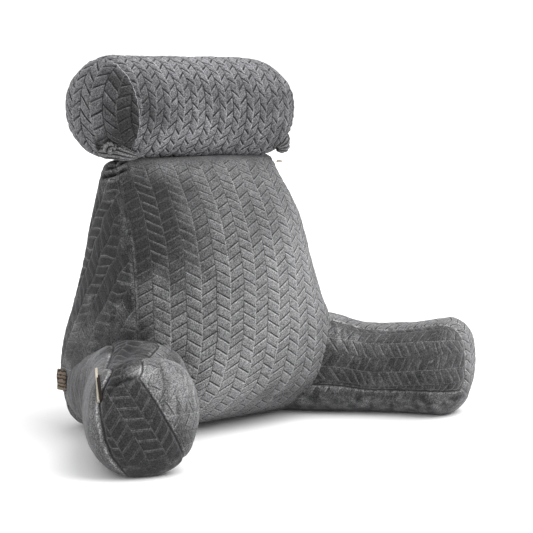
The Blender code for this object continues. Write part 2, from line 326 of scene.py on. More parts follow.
BACKREST_LIE = 0.58  # how light the pile lies where no patch changes it
GUSSET_SHADE = 0.14  # how much darker the left gusset's pile lies
GUSSET_PATCHES = ((0.022, 0.30, 21),)  # size, change and seed of its mottled pile
CREASE_SHADE = 90  # painted shade in creases: how much darker the pile is drawn for each metre that it is pressed in
CREASE_DARK = (0.0022, 0.0060)  # how deep a crease is pressed where its painted shadow starts, and where it is darkest
# middle of each patch, its radius and how much lighter it draws the pile: mostly how the pile lies,
# with painted shade beside the arms, painted light on the foot and a painted highlight on the rubbed top edge
BACKREST_PILE_AND_SHADING = (
    (-0.166, 0.043, 0.398, 0.035, -0.5),
    (-0.178, 0.035, 0.36, 0.035, -0.55),
    (-0.17, 0.015, 0.325, 0.035, -0.4),
    (-0.135, 0.035, 0.41, 0.035, -0.35),
    (-0.1294, 0.03, 0.37, 0.04, -0.3),
    (-0.135, 0.0, 0.325, 0.04, -0.3),
    (-0.178, 0.003, 0.302, 0.03, -0.35),
    (-0.095, 0.025, 0.41, 0.04, -0.15),
    (-0.205, 0.06, 0.295, 0.03, -0.35),
    (-0.223, 0.094, 0.231, 0.07, -0.42),
    (-0.2, 0.1, 0.36, 0.07, -0.42),
    (-0.215, 0.13, 0.29, 0.07, -0.35),
    (-0.223, 0.11, 0.23, 0.012, 0.35),
    (-0.2268, 0.165, 0.15, 0.04, -0.15),
    (-0.218, 0.05, 0.25, 0.03, -0.2),
    (-0.228, 0.08, 0.15, 0.04, -0.15),
    (-0.195, 0.048, 0.37, 0.014, 0.45),
    (-0.199, 0.038, 0.335, 0.014, 0.4),
    (-0.175, -0.015, 0.255, 0.022, 0.25),
    (-0.2317, 0.1105, 0.1797, 0.04, 0.1),
    (0.1225, -0.0378, 0.2829, 0.085, 0.32),
    (0.13, -0.03, 0.2, 0.07, 0.1),
    (0.0398, -0.0759, 0.1728, 0.08, 0.15),
    (-0.0682, -0.0701, 0.116, 0.07, 0.2),
    (-0.0958, -0.051, 0.0746, 0.045, 0.2),
    (-0.0375, 0.0408, 0.4423, 0.06, -0.08),
    (0.0375, 0.0, 0.36, 0.07, -0.14),
    (-0.1338, -0.0259, 0.3014, 0.035, -0.12),
    (-0.1018, -0.01, 0.355, 0.03, -0.1),
    (-0.146, 0.0755, 0.4537, 0.025, -0.3),
    (-0.1787, 0.0747, 0.4268, 0.028, -0.25),
    (-0.1964, 0.0142, 0.283, 0.018, -0.3),
    (-0.2068, 0.0069, 0.2384, 0.02, -0.3),
    (-0.2132, -0.0058, 0.1991, 0.02, -0.25),
    (-0.2229, -0.0048, 0.174, 0.018, -0.55),
    (-0.2127, -0.0181, 0.174, 0.016, -0.3),
    (-0.087, -0.06, 0.087, 0.025, 0.2),
    (-0.06, -0.025, 0.02, 0.04, 0.35),
    (0.09, -0.035, 0.05, 0.035, -0.15),
    (0.1472, -0.0125, 0.0437, 0.04, -0.25),
    (0.175, -0.015, 0.075, 0.025, -0.2),
    (-0.1433, -0.0369, 0.2535, 0.035, -0.18),
    (-0.1018, -0.0265, 0.3323, 0.045, -0.2),
    (-0.1638, -0.0232, 0.2589, 0.025, -0.15),
    (-0.1998, -0.0229, 0.1914, 0.035, -0.18),
    (-0.1578, -0.0533, 0.1376, 0.025, -0.3),
    (-0.0457, -0.0571, 0.0776, 0.05, 0.22),
    (0.03, -0.05, 0.07, 0.05, 0.15),
    (0.0586, -0.0682, 0.2217, 0.06, 0.1),
    (0.0, 0.09, 0.464, 0.03, 0.3),
    (0.08, 0.09, 0.464, 0.03, 0.3),
    (0.15, 0.09, 0.46, 0.03, 0.3),
    (-0.08, 0.09, 0.464, 0.03, 0.25),
    (-0.15, 0.085, 0.459, 0.022, 0.25),
    (-0.0785, 0.0006, 0.3874, 0.022, -0.16),
    (-0.0908, 0.0222, 0.4119, 0.03, -0.08),
    (-0.1739, -0.0124, 0.2703, 0.028, -0.1),
    (0.0374, -0.0485, 0.066, 0.026, -0.3),
    (-0.09, -0.054, 0.08, 0.026, 0.3),
    (-0.1283, -0.0561, 0.1012, 0.018, -0.2),
    (0.028, -0.0762, 0.1449, 0.045, 0.12),
)


def patch_sum(points, patches, start=0.0):
    """The start and each patch's change, added up: how the pile lies, 0 dark, against the light, to 1 light,
    with painted shade and highlight where a patch stands for them. Each patch adds or takes away.
    """
    return start + sum(change * nearness(points, middle, radius) for *middle, radius, change in patches)


def put_up(name, data, place=(0.0, 0.0, 0.0)):
    """A mesh, a lamp or a camera as an object in the scene."""
    made = bpy.data.objects.new(name, data)
    bpy.context.scene.collection.objects.link(made)
    made.location = place
    return made


def stitch_up(name, points, marks, cloth, cloth_end=None):
    """A closed piece skinned over a grid of rings, with its cloth maps and its marks.
    cloth holds each face's left and right edge, so that panels can meet at a seam."""
    rows, columns = points.shape[:2]
    i, j = np.meshgrid(np.arange(rows - 1), np.arange(columns), indexing="ij")
    right = (j + 1) % columns
    corners = [i * columns + j, i * columns + right, (i + 1) * columns + right, (i + 1) * columns + j]
    first, last = list(range(columns)), list(range((rows - 1) * columns, rows * columns))
    caps = [first[::-1], last]

    def on_corners(left_edge, right_edge):
        return [left_edge[i, j], right_edge[i, j], right_edge[i + 1, j], left_edge[i + 1, j]]

    maps = {"cloth": on_corners(*cloth), "cloth_end": on_corners(*(cloth_end or cloth))}
    if facing_of(points) < 0:
        corners = corners[::-1]
        caps = [cap[::-1] for cap in caps]
        maps = {key: value[::-1] for key, value in maps.items()}
    quads = np.stack(corners, -1).reshape(-1, 4)
    mesh = bpy.data.meshes.new(name)
    mesh.from_pydata(points.reshape(-1, 3).tolist(), [], quads.tolist() + caps)
    for key, value in maps.items():
        uvs = np.zeros((len(mesh.loops), 2), np.float32)
        uvs[: quads.size] = np.stack(value, -2).reshape(-1, 2)
        mesh.uv_layers.new(name=key).data.foreach_set("uv", uvs.ravel())
    for key, value in marks.items():
        values = np.broadcast_to(value, (rows, columns)).astype(np.float32)
        mesh.attributes.new(key, "FLOAT", "POINT").data.foreach_set("value", values.ravel())
    mesh.shade_smooth()
    return put_up(name, mesh)


def tree_of(piece):
    """The piece's faces, for finding what lies in it or near it."""
    mesh = piece.data
    return BVHTree.FromPolygons([v.co for v in mesh.vertices], [p.vertices for p in mesh.polygons])


# how the pile lies, with the patches' painted shade and light, and painted shade drawn into the creases
lie_and_shading = patch_sum(points, BACKREST_PILE_AND_SHADING, BACKREST_LIE) - CREASE_SHADE * pressed
lie_and_shading[:, last_gusset] += lumpy(points[:, last_gusset], GUSSET_PATCHES) - GUSSET_SHADE
marks = {"lie_and_shading": lie_and_shading, "seam": seam, "embossed": embossed, "fold": ramp(pressed, *CREASE_DARK)}
backrest = stitch_up("backrest_cover", points, marks, (cloth_left, cloth_right))
backrest_tree = tree_of(backrest)

# the covers' material, from node groups that all three kinds of velour place with their own values


def feed(tree, sockets, values):
    """Feeds sockets by name or number: another socket is linked in, a number or a colour is set."""
    for key, value in values.items():
        if isinstance(value, bpy.types.NodeSocket):
            tree.links.new(value, sockets[key])
        elif sockets[key].type == "RGBA":
            sockets[key].default_value = (*value, 1.0)
        else:
            sockets[key].default_value = value


def node_of(tree, kind, inputs, **settings):
    """A shader node of this kind, with its settings made and its inputs fed."""
    node = tree.nodes.new("ShaderNode" + kind)
    for key, value in settings.items():
        setattr(node, key, value)
    feed(tree, node.inputs, inputs)
    return node


def tree_with(*values):
    """The node tree that the sockets among these values are in."""
    return next(value.id_data for value in values if isinstance(value, bpy.types.NodeSocket))


def math(operation, *values):
    """A Math node on sockets or numbers. More than two are worked in one after another."""
    while len(values) > 2:
        values = (math(operation, *values[:2]), *values[2:])
    return node_of(tree_with(*values), "Math", dict(enumerate(values)), operation=operation).outputs[0]


def plus(*values):
    return math("ADD", *values)


def minus(*values):
    return math("SUBTRACT", *values)


def times(*values):
    return math("MULTIPLY", *values)


def blend(share, first, second, kind="RGBA"):
    """A Mix node of colours, floats or vectors."""
    place, result = {"FLOAT": (2, 0), "VECTOR": (4, 1), "RGBA": (6, 2)}[kind]
    inputs = {0: share, place: first, place + 1: second}
    return node_of(tree_with(share, first, second), "Mix", inputs, data_type=kind).outputs[result]


def smooth_range(value, low, high, start=0.0, end=1.0):
    """start where the value is below low, end above high and a smooth step between."""
    inputs = {"Value": value, "From Min": low, "From Max": high, "To Min": start, "To Max": end}
    return node_of(value.id_data, "MapRange", inputs, interpolation_type="SMOOTHSTEP").outputs["Result"]


def noise_at(place, scale, detail=2.0, rough=0.5):
    inputs = {"Vector": place, "Scale": scale, "Detail": detail, "Roughness": rough}
    return node_of(place.id_data, "TexNoise", inputs).outputs["Fac"]


def group_of(name, inputs, outputs):
    """An empty shader node group. An input's kind shows in its value: a number, a colour or no value
    for a vector."""
    group = bpy.data.node_groups.new(name, "ShaderNodeTree")
    for socket, value in inputs.items():
        kind = "Vector" if value is None else "Float" if isinstance(value, float) else "Color"
        made = group.interface.new_socket(socket, in_out="INPUT", socket_type="NodeSocket" + kind)
        if kind == "Float":
            made.default_value = value
        elif kind == "Color":
            made.default_value = (*value, 1.0)
    for socket, kind in outputs.items():
        group.interface.new_socket(socket, in_out="OUTPUT", socket_type="NodeSocket" + kind)
    return group, group.nodes.new("NodeGroupInput").outputs, group.nodes.new("NodeGroupOutput").inputs


def make_leaf_lines():
    """Group: the embossed leaves' grooves, the lit lip under each line, drawn as a painted highlight, and the
    puff between.
    Every second border, where the leaves dip to each other, catches the light instead, as a painted
    highlight."""
    group, given, result = group_of(
        "leaf lines",
        {"Cloth": None, "Rise": LEAF_RISE, "Line Step": 0.0, "Column Pitch": LEAF_PITCH, "Line Width": 1.0},
        {"Groove": "Float", "Lip Highlight": "Float", "Puff": "Float", "Nap": "Float"},
    )
    across, up, _ = node_of(group, "SeparateXYZ", {0: given["Cloth"]}).outputs
    column = math("FLOOR", across)
    odd = math("FLOORED_MODULO", column, 2.0)
    t = minus(across, column)
    rest = minus(1.0, t)
    even_line = plus(up, times(given["Rise"], rest))
    odd_line = plus(minus(up, 0.5), times(given["Rise"], t))
    lines = blend(odd, even_line, odd_line, "FLOAT")
    signed = minus(lines, math("ROUND", lines))
    finer = math("DIVIDE", 1.0, given["Line Width"])
    to_line = times(math("ABSOLUTE", signed), given["Line Step"], finer)
    to_border = times(math("MINIMUM", t, rest), given["Column Pitch"], finer)
    near = math("MINIMUM", to_line, to_border)
    at_tip = math("GREATER_THAN", blend(odd, t, rest, "FLOAT"), 0.5)
    under = times(plus(signed, 0.145), 13.0)
    line_highlight = smooth_range(math("ABSOLUTE", under), 0.1, 1.0, 0.85, 0.0)
    line_highlight = times(line_highlight, smooth_range(to_border, 0.0004, 0.0014))
    dip_highlight = smooth_range(to_border, 0.0002, 0.0013, 1.0, 0.0)
    dip_highlight = times(dip_highlight, minus(1.0, at_tip))
    line_groove = smooth_range(to_line, 0.0003, 0.0016, 1.0, 0.0)
    line_groove = times(line_groove, minus(1.0, times(dip_highlight, 0.6)))
    border_groove = times(smooth_range(to_border, 0.0001, 0.0012, 0.85, 0.0), at_tip)
    shown = {
        "Groove": math("MAXIMUM", line_groove, border_groove),
        "Lip Highlight": math("MAXIMUM", line_highlight, dip_highlight),
        "Puff": smooth_range(near, 0.0, 0.006),
        "Nap": odd,
    }
    feed(group, result, shown)
    return group


BODY_PILE = ((0.0225, 0.0225, 0.0235), (0.188, 0.188, 0.191))  # brushed against the light and with it
THREAD = (0.016, 0.016, 0.017)
# painted shadow, drawn into deep creases
SHADOW = (0.004, 0.004, 0.004)
GROOVE_SHADOW = (0.008, 0.008, 0.009)
HIGHLIGHT_AND_RUB_TONES = ((0.075, 0.075, 0.076), (0.420, 0.420, 0.424))  # painted highlight of the lit lips, also the tone of rubbed seams: on dark pile and on light


def make_velour_pile():
    """Group: the pile's colour from how it lies, with flecks, brush strokes, grooves and rubbed seams,
    painted highlights on the lips and painted shadow in the grooves and the creases.
    """
    group, given, result = group_of(
        "velour pile",
        {
            "Place": None,
            "Cloth": None,
            "Lie And Shading": 0.5,
            "Nap": 0.5,
            "Nap Swing": 0.0,
            "Groove": 0.0,
            "Lip Highlight": 0.0,
            "Seam": 1.0,
            "Crease Shadow": 0.0,
            "Strokes": 0.2,
            "Rubbed": 0.62,
            "Rub Reach": 0.0055,
            "Speckle": 1.0,
            "Stitch": THREAD,
            "Worn Line": (0.120, 0.120, 0.122),
            "Dark Pile": BODY_PILE[0],
            "Light Pile": BODY_PILE[1],
        },
        {"Colour": "Color", "Flecks": "Float"},
    )

    def swing(value, amount):
        """A value from 0 to 1 as a change to each side of none."""
        return times(minus(value, 0.5), amount)

    place, nap_swing = given["Place"], given["Nap Swing"]
    clouds = noise_at(place, 26.0, 3.0, 0.55)
    flecks = noise_at(place, 520.0, 2.0, 0.75)
    brush = noise_at(place, 130.0, 2.0, 0.6)
    stretched = node_of(group, "Mapping", {"Vector": given["Cloth"], "Scale": (0.7, 5.0, 1.0)}).outputs[0]
    strokes = swing(noise_at(stretched, 1.0, 2.0, 0.6), given["Strokes"])
    napped = swing(given["Nap"], nap_swing)
    lie_and_shading = plus(given["Lie And Shading"], swing(clouds, 0.65), swing(brush, 0.45), strokes, napped)
    lie_and_shading = smooth_range(lie_and_shading, -0.15, 1.15)
    pile = blend(lie_and_shading, given["Dark Pile"], given["Light Pile"])

    uneven = smooth_range(noise_at(place, 75.0, 1.0, 0.5), 0.32, 0.58, 0.62, 1.0)
    highlight_and_rub_tone = blend(lie_and_shading, *HIGHLIGHT_AND_RUB_TONES)
    # painted highlight on the lit lip under each line
    pile = blend(times(given["Lip Highlight"], uneven, 0.72), pile, highlight_and_rub_tone)
    # the grooves are drawn in painted shadow on light pile, and on dark pile in the groove line's tone:
    # lighter on the body and arms, painted shadow on the roll
    worn = plus(0.5, swing(given["Nap"], times(nap_swing, 9.0)))
    worn = blend(worn, THREAD, given["Worn Line"])
    groove_tone = blend(smooth_range(lie_and_shading, 0.10, 0.55), worn, GROOVE_SHADOW)
    pile = blend(times(given["Groove"], uneven), pile, groove_tone)

    beside_seam = math("ABSOLUTE", minus(given["Seam"], 0.0034))
    beside_seam = math("DIVIDE", beside_seam, given["Rub Reach"])
    rubbed = times(smooth_range(beside_seam, 0.2, 1.0, 1.0, 0.0), given["Rubbed"])
    rubbed = times(rubbed, smooth_range(brush, 0.36, 0.60))
    pile = blend(rubbed, pile, highlight_and_rub_tone)
    stitch = smooth_range(given["Seam"], 0.0003, 0.0020, 0.85, 0.0)
    pile = blend(stitch, pile, given["Stitch"])
    # painted shadow in the creases
    pile = blend(given["Crease Shadow"], pile, SHADOW)
    fleck_tone = times(smooth_range(flecks, 0.28, 0.72, -0.66, 0.68), given["Speckle"])
    flecked = {0: pile, "Scale": plus(1.0, fleck_tone)}
    tinted = node_of(group, "VectorMath", flecked, operation="SCALE").outputs[0]
    feed(group, result, {"Colour": tinted, "Flecks": flecks})
    return group


LEAF_LINES = make_leaf_lines()
VELOUR_PILE = make_velour_pile()


def finish_of(name, constants):
    """A material, its nodes and its shader, with these constants on the shader."""
    made = bpy.data.materials.new(name)
    made.use_nodes = True
    shader = made.node_tree.nodes["Principled BSDF"]
    feed(made.node_tree, shader.inputs, constants)
    return made, made.node_tree, shader


def velour(name, piles, leaf, depth, strokes, swing=0.08, line_width=1.0, end_leaf=None, **own):
    """Embossed velour. The end of a piece, where its mark is over 0, takes the second cloth map.
    What is given beside the named values goes to the pile's sockets."""
    sheen = {"Sheen Weight": 0.20, "Sheen Roughness": 0.45, "Sheen Tint": (0.75, 0.75, 0.78)}
    made, tree, shader = finish_of(name, {"Roughness": 0.92, "Specular IOR Level": 0.2, **sheen})

    def mark(key):
        return node_of(tree, "Attribute", {}, attribute_name=key).outputs["Fac"]

    def lines_on(key, leaf):
        """What the leaf lines put out over one cloth map, and the map."""
        layout = node_of(tree, "UVMap", {}, uv_map=key).outputs[0]
        sizes = {"Rise": leaf[0], "Line Step": line_step(leaf), "Column Pitch": leaf[2]}
        inputs = {"Cloth": layout, "Line Width": line_width, **sizes}
        return dict(node_of(tree, "Group", inputs, node_tree=LEAF_LINES).outputs.items()), layout

    lines, layout = lines_on("cloth", leaf)
    seam = mark("seam")
    if end_leaf:
        seam = math("ABSOLUTE", mark("end"))
        at_end = math("GREATER_THAN", mark("end"), 0.0)
        end_lines, end_layout = lines_on("cloth_end", end_leaf)
        lines = {key: blend(at_end, lines[key], end_lines[key], "FLOAT") for key in lines}
        layout = blend(at_end, layout, end_layout, "VECTOR")
    embossed = mark("embossed")
    groove = times(lines["Groove"], embossed)

    inputs = {
        "Place": node_of(tree, "TexCoord", {}).outputs["Object"],
        "Cloth": layout,
        "Lie And Shading": mark("lie_and_shading"),
        "Nap": lines["Nap"],
        "Nap Swing": times(embossed, swing),
        "Groove": groove,
        "Lip Highlight": times(lines["Lip Highlight"], embossed),
        "Seam": seam,
        "Crease Shadow": mark("fold"),
        "Strokes": strokes,
        "Dark Pile": piles[0],
        "Light Pile": piles[1],
        **{key.replace("_", " ").title(): value for key, value in own.items()},
    }
    pile = node_of(tree, "Group", inputs, node_tree=VELOUR_PILE)
    puffed = minus(times(lines["Puff"], embossed), times(groove, 0.8))
    height = plus(puffed, times(pile.outputs["Flecks"], 0.35))
    bump = node_of(tree, "Bump", {"Strength": 0.7, "Distance": depth, "Height": height})
    feed(tree, shader.inputs, {"Base Color": pile.outputs["Colour"], "Normal": bump.outputs[0]})
    return made


cover_cloth = velour("charcoal velour", BODY_PILE, COVER_LEAF, 0.0010, 0.16, rubbed=0.45, speckle=1.2)
backrest.data.materials.append(cover_cloth)
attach(backrest, "root")
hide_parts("backrest")


# ------------------------------------------------------------------------------
# Arms: two stuffed tubes sewn to the backrest's sides. Each has an inner and an outer side
# panel, and a strip that runs over the top, down the rounded end and back underneath.
# ------------------------------------------------------------------------------
# place of the middle line (x outwards, y) and half the height and width, root to end
ARM_ROWS = {
    "arm_left": (
        (0.134, 0.170, 0.071, 0.084),
        (0.173, 0.073, 0.080, 0.086),
        (0.214, -0.007, 0.089, 0.083),
        (0.266, -0.063, 0.080, 0.082),
        (0.308, -0.118, 0.080, 0.080),
        (0.338, -0.173, 0.091, 0.086),
        (0.361, -0.226, 0.097, 0.091),
    ),
    "arm_right": (
        (0.134, 0.170, 0.071, 0.084),
        (0.183, 0.084, 0.080, 0.086),
        (0.234, 0.013, 0.089, 0.083),
        (0.287, -0.042, 0.080, 0.082),
        (0.329, -0.097, 0.080, 0.080),
        (0.360, -0.152, 0.086, 0.081),
        (0.383, -0.205, 0.090, 0.084),
    ),
}
ARM_POWERS = (2.55, 2.25)  # squareness of the section above and below its middle
ARM_STEPS = (7, 152, 50)  # rings of its root, its body and its rounded end
ARM_SINK = 0.003
ARM_ROOT = 0.020
ARM_END = 0.055
ARM_END_POWER = 2.3
ARM_ANGLES = np.linspace(0, 2 * np.pi, 208, endpoint=False)  # up from the side by the lap
ON_LAP_SIDE = np.cos(ARM_ANGLES) > 0
# place along the arm and degrees round it, up from the side by the lap, of its four seams
ARM_SEAMS = {
    "arm_left": (
        ((0.0, 60.0), (0.217, 66.0), (0.25, 73.0), (0.405, 92.0)),
        ((0.0, 122.0), (0.225, 117.0), (0.405, 124.0)),
        ((0.0, 253.0), (0.405, 253.0)),
        ((0.0, -30.0), (0.405, -46.0)),
    ),
    "arm_right": (
        ((0.0, 60.0), (0.213, 62.6), (0.27, 66.4), (0.326, 67.9), (0.398, 62.5)),
        ((0.0, 125.0), (0.24, 130.0), (0.405, 140.0)),
        ((0.0, 253.0), (0.405, 253.0)),
        ((0.0, -20.0), (0.213, -20.0), (0.336, -21.0), (0.398, -23.0)),
    ),
}
# the inner and the outer seam down the rounded end, lap side and up from its middle
END_SEAMS = {
    "arm_left": (
        (
            (-0.0032, 0.0964), (-0.0075, 0.0757), (-0.0147, 0.0649), (0.0528, -0.05), (0.0657, -0.072),
        ),
        (
            (-0.045, 0.095), (-0.056, 0.074), (-0.07, 0.05), (-0.0763, 0.0273), (-0.0741, 0.0021),
            (-0.0687, -0.0283), (-0.0563, -0.057), (-0.039, -0.0774), (-0.027, -0.0937),
        ),
    ),
    "arm_right": (
        (
            (0.0404, 0.0836), (0.029, 0.0765), (0.0225, 0.064), (0.0225, -0.033), (0.03, -0.04),
            (0.0781, -0.0358),
        ),
        (
            (-0.069, 0.062), (-0.07, 0.025), (-0.065, -0.028), (-0.036, -0.074), (-0.025, -0.087),
        ),
    ),
}
END_LEAN = {"arm_left": 0.574, "arm_right": 0.0}  # how far the end's seams lean, as a slope
END_HALF = (0.085, 0.092)  # half the end's width and height, for the length of cloth over it
STRIP_RETURN = 0.7  # where the strip's run, on its way back underneath, would reach the root
STRIP_PITCH = 0.0272
SIDE_PITCH = 0.0258
SIDE_LEAF = (LEAF_RISE, LEAF_LENGTH, SIDE_PITCH)
STRIP_LEAF = (LEAF_RISE, LEAF_LENGTH, STRIP_PITCH)
ARM_LEAF_HEIGHT = 0.0010
ARM_LUMPS = ((0.050, 0.0024, 8), (0.020, 0.0008, 9))
UNDERSIDE_LUMPS = ((0.014, 0.0012, 10), (0.007, 0.0005, 11))
UNDERSIDE_PATCHES = ((0.016, 0.45, 17), (0.007, 0.25, 18))  # size, change and seed of its mottled pile
ARM_SEAM = ((0.0036, 0.0040), (0.0012, 0.014))
ARM_GATHERS = (0.0012, 0.008, 0.0003)  # height and reach of the folds at its seams, and height away from them
ARM_LIE = 0.55
ARM_STREAKS = 1.1  # how strongly worn pile is streaked
STRIP_TURN = (0.56, 0.19, 0.09)  # how far down the end its pile turns, how much later on top, over how much
ARM_PIPING = (0.0016, 0.0038, 0.0022)  # height, place off the seam and width of the piping round the end
ARM_CREASES = {
    "arm_left": (
        (
            0.003, 0.0048, (-0.3704, -0.2086, 0.1588), (-0.3829, -0.2028, 0.1566),
            (-0.3959, -0.1952, 0.1526), (-0.4063, -0.1892, 0.1425), (-0.4143, -0.1848, 0.1293),
        ),
        (0.007, 0.003, (-0.285, -0.06, 0.16), (-0.235, -0.02, 0.168)),
    ),
    "arm_right": ((0.006, 0.002, (0.235, -0.055, 0.12), (0.25, -0.075, 0.085)),),
}
# how much lighter the pile lies on the inner panel, the strip's top, end and underside, and the outer panel
ARM_PANEL_PILE = {
    "arm_left": (0.05, -0.50, -0.58, -0.38, -0.19),
    "arm_right": (-0.34, 0.12, 0.10, -0.12, 0.00),
}
STRIP_SHADE = {"arm_left": 0.38, "arm_right": 0.0}  # how much darker it lies on top along the outer seam
# where handling has flattened the leaves, and how much
ARM_WORN = {
    "arm_left": (
        (-0.3148, -0.202, 0.1774, 0.04, 0.6),
        (-0.305, -0.23, 0.14, 0.045, 0.6),
        (-0.275, -0.1, 0.175, 0.055, 0.6),
        (-0.38, -0.17, 0.172, 0.035, 0.5),
        (-0.2477, -0.0439, 0.163, 0.03, 0.5),
    ),
    "arm_right": ((0.205, -0.05, 0.15, 0.022, 0.6), (0.231, -0.015, 0.168, 0.022, 0.6)),
}
# middle of each patch, its radius and how much lighter it draws the pile: how the pile lies, with painted
# shade where an arm meets the backrest and low on the left arm's end, and painted highlights along its rim
ARM_PILE_AND_SHADING = {
    "arm_left": (
        (-0.2466, -0.0034, 0.1694, 0.03, -0.5),
        (-0.2477, -0.0439, 0.163, 0.02, -0.15),
        (-0.224, -0.045, 0.165, 0.024, 0.4),
        (-0.3593, -0.2091, 0.1651, 0.011, 1.0),
        (-0.37, -0.2, 0.171, 0.014, 0.15),
        (-0.185, -0.07, 0.147, 0.026, -0.45),
        (-0.4146, -0.1892, 0.0816, 0.02, -0.25),
        (-0.409, -0.1913, 0.0584, 0.02, -0.25),
        (-0.3989, -0.1925, 0.0373, 0.02, -0.25),
        (-0.3592, -0.2194, 0.0403, 0.025, -0.25),
        (-0.3539, -0.2126, 0.0215, 0.025, -0.2),
        (-0.3088, -0.23, 0.1496, 0.035, 0.2),
        (-0.2986, -0.2364, 0.1263, 0.03, 0.1),
        (-0.307, -0.2391, 0.0895, 0.045, -0.15),
        (-0.31, -0.2339, 0.045, 0.04, -0.25),
        (-0.2745, -0.0077, 0.1567, 0.016, 0.3),
        (-0.2494, 0.0465, 0.1556, 0.03, 0.2),
        (-0.3842, -0.195, 0.1647, 0.008, 0.2),
        (-0.3738, -0.201, 0.1658, 0.008, 0.3),
        (-0.3641, -0.2055, 0.1668, 0.009, 0.45),
        (-0.3551, -0.2111, 0.1649, 0.01, 0.35),
        (-0.4236, -0.1623, 0.1092, 0.045, 0.12),
        (-0.2572, 0.0925, 0.0668, 0.06, -0.12),
    ),
    "arm_right": (
        (0.2311, -0.0149, 0.1681, 0.014, 0.7),
        (0.2022, -0.0518, 0.1445, 0.018, 0.3),
        (0.2262, -0.066, 0.13, 0.02, 0.24),
        (0.2101, -0.0438, 0.1553, 0.018, 0.3),
        (0.222, -0.0873, 0.1108, 0.02, 0.08),
        (0.208, -0.0767, 0.06, 0.03, -0.15),
        (0.2658, -0.1432, 0.0593, 0.035, -0.15),
        (0.32, -0.195, 0.06, 0.03, -0.12),
        (0.262, -0.11, 0.118, 0.014, 0.3),
        (0.38, -0.15, 0.175, 0.08, 0.15),
        (0.1673, -0.0349, 0.0712, 0.03, -0.16),
    ),
}


def rounded(share, power):
    """How wide a rounded end still is at this share of its length."""
    return (1 - share**power) ** (1 / power)


def rounded_reach(angle):
    """How far the rounded square section reaches at each angle, for half sizes of 1."""
    c, s = np.cos(angle), np.sin(angle)
    power = np.where(s > 0, *ARM_POWERS)
    return (abs(c) ** power + abs(s) ** power) ** (-1 / power)


def beside(across, up, seam_line):
    """How far each point lies from a seam drawn down the arm's end, over 0 on its lap side."""
    best = np.full(across.shape, 9.0)
    for (x1, z1), (x2, z2) in zip(seam_line, seam_line[1:]):
        run = np.hypot(x2 - x1, z2 - z1)
        rx, rz = (x2 - x1) / run, (z2 - z1) / run
        t = np.clip((across - x1) * rx + (up - z1) * rz, 0, run)
        away = np.hypot(across - x1 - t * rx, up - z1 - t * rz)
        side_of = np.where((up - z1) * rx - (across - x1) * rz > 0, 1.0, -1.0)
        best = np.where(away < abs(best), away * side_of, best)
    return best


def between(angle, low, high, size):
    """How far inside the two seams each point lies round the arm, under 0 outside them."""
    from_low = (angle - low + np.pi) % (2 * np.pi) - np.pi
    to_high = (high - angle + np.pi) % (2 * np.pi) - np.pi
    inside = np.where((from_low > 0) & (to_high > 0), 1.0, -1.0)
    return inside * np.minimum(abs(from_low), abs(to_high)) * size


def over_end(share, size):
    """Length of cloth from the end's rim, where share is 1, over its crown to -1 at the far rim."""
    t = np.linspace(1, -1, 201)
    bulge = ARM_END * rounded(abs(t), ARM_END_POWER)
    return np.interp(-share, -t, running(np.hypot(np.diff(bulge), np.diff(t) * size)))


def pressed_clear(points, tree, gap, way=None):
    """Points that lie in another piece, or nearly, are moved to its face, or this gap off it.
    Deep points are moved the way given, to where that leaves the piece."""
    flat = points.reshape(-1, 3).copy()
    ways = None if way is None else np.broadcast_to(way, points.shape).reshape(-1, 3)
    for k, point in enumerate(flat):
        spot, normal, _, away = tree.find_nearest(Vector(point), 0.15)
        if spot is None:
            continue
        inside = (Vector(point) - spot).dot(normal) < 0
        if inside and ways is not None and away > 0.012:
            out = tree.ray_cast(Vector(point), Vector(ways[k]))[0]
            if out is not None:
                flat[k] = out + Vector(ways[k]) * gap
                continue
        if inside or away < gap:
            flat[k] = spot + normal * gap
    return flat.reshape(points.shape)


def buried(points, tree):
    """Which rings of a grid lie wholly inside another piece."""
    whole = []
    for ring in points[:, ::4]:
        found = [(Vector(point), tree.find_nearest(Vector(point))) for point in ring]
        whole.append(all((point - spot).dot(normal) < 0 for point, (spot, normal, _, _) in found))
    return np.array(whole)


def arm_shape(name, side):
    """One arm's tube, ring by ring: along the middle line, and across and up from it."""
    middle_line = np.array(ARM_ROWS[name])
    run = running(np.hypot(*np.diff(middle_line[:, :2], axis=0).T))
    rows = np.column_stack([run, middle_line])
    start = run[-1] - ARM_END
    root_steps, body_steps, end_steps = ARM_STEPS
    root = ARM_ROOT * (1 - np.cos(np.linspace(0.1, np.pi / 2, root_steps)))
    body = np.linspace(ARM_ROOT, start, body_steps)[1:-1]
    turn = np.linspace(0, np.pi / 2 - 0.012, end_steps)
    along = np.concatenate([root, body, run[-1] - ARM_END * (1 - np.sin(turn))])
    x, y, high, wide = along_rows(rows, along).T[..., None]
    ahead = along_rows(rows, along + 1e-3) - along_rows(rows, along - 1e-3)
    lapward = unit(np.stack((ahead[:, 1], -ahead[:, 0]), -1))
    beyond = np.clip((along - start) / ARM_END, 0.0, 1.0)
    swell = rounded(beyond, ARM_END_POWER)
    swell[: len(root)] = np.sqrt(1 - (1 - np.minimum(root / ARM_ROOT, 1.0)) ** 2)
    reach = rounded_reach(ARM_ANGLES) * swell[:, None]
    across = reach * np.cos(ARM_ANGLES) * wide
    up = reach * np.sin(ARM_ANGLES) * high
    points = grid_of(
        side * (x + lapward[:, :1] * across),
        y + lapward[:, 1:] * across,
        np.maximum(high - ARM_SINK + up, 0.0),
    )
    return SimpleNamespace(
        points=points + MIDDLE,
        along=along[:, None],
        up_to_end=np.minimum(along, start)[:, None],
        beyond=beyond[:, None],
        on_end=ramp(beyond, 0.10, 0.55)[:, None],
        across=across,
        up=up,
        high=high,
        wide=wide,
        backwards=np.stack([-side * lapward[:, 0], -lapward[:, 1], 0 * along], -1)[:, None],
    )


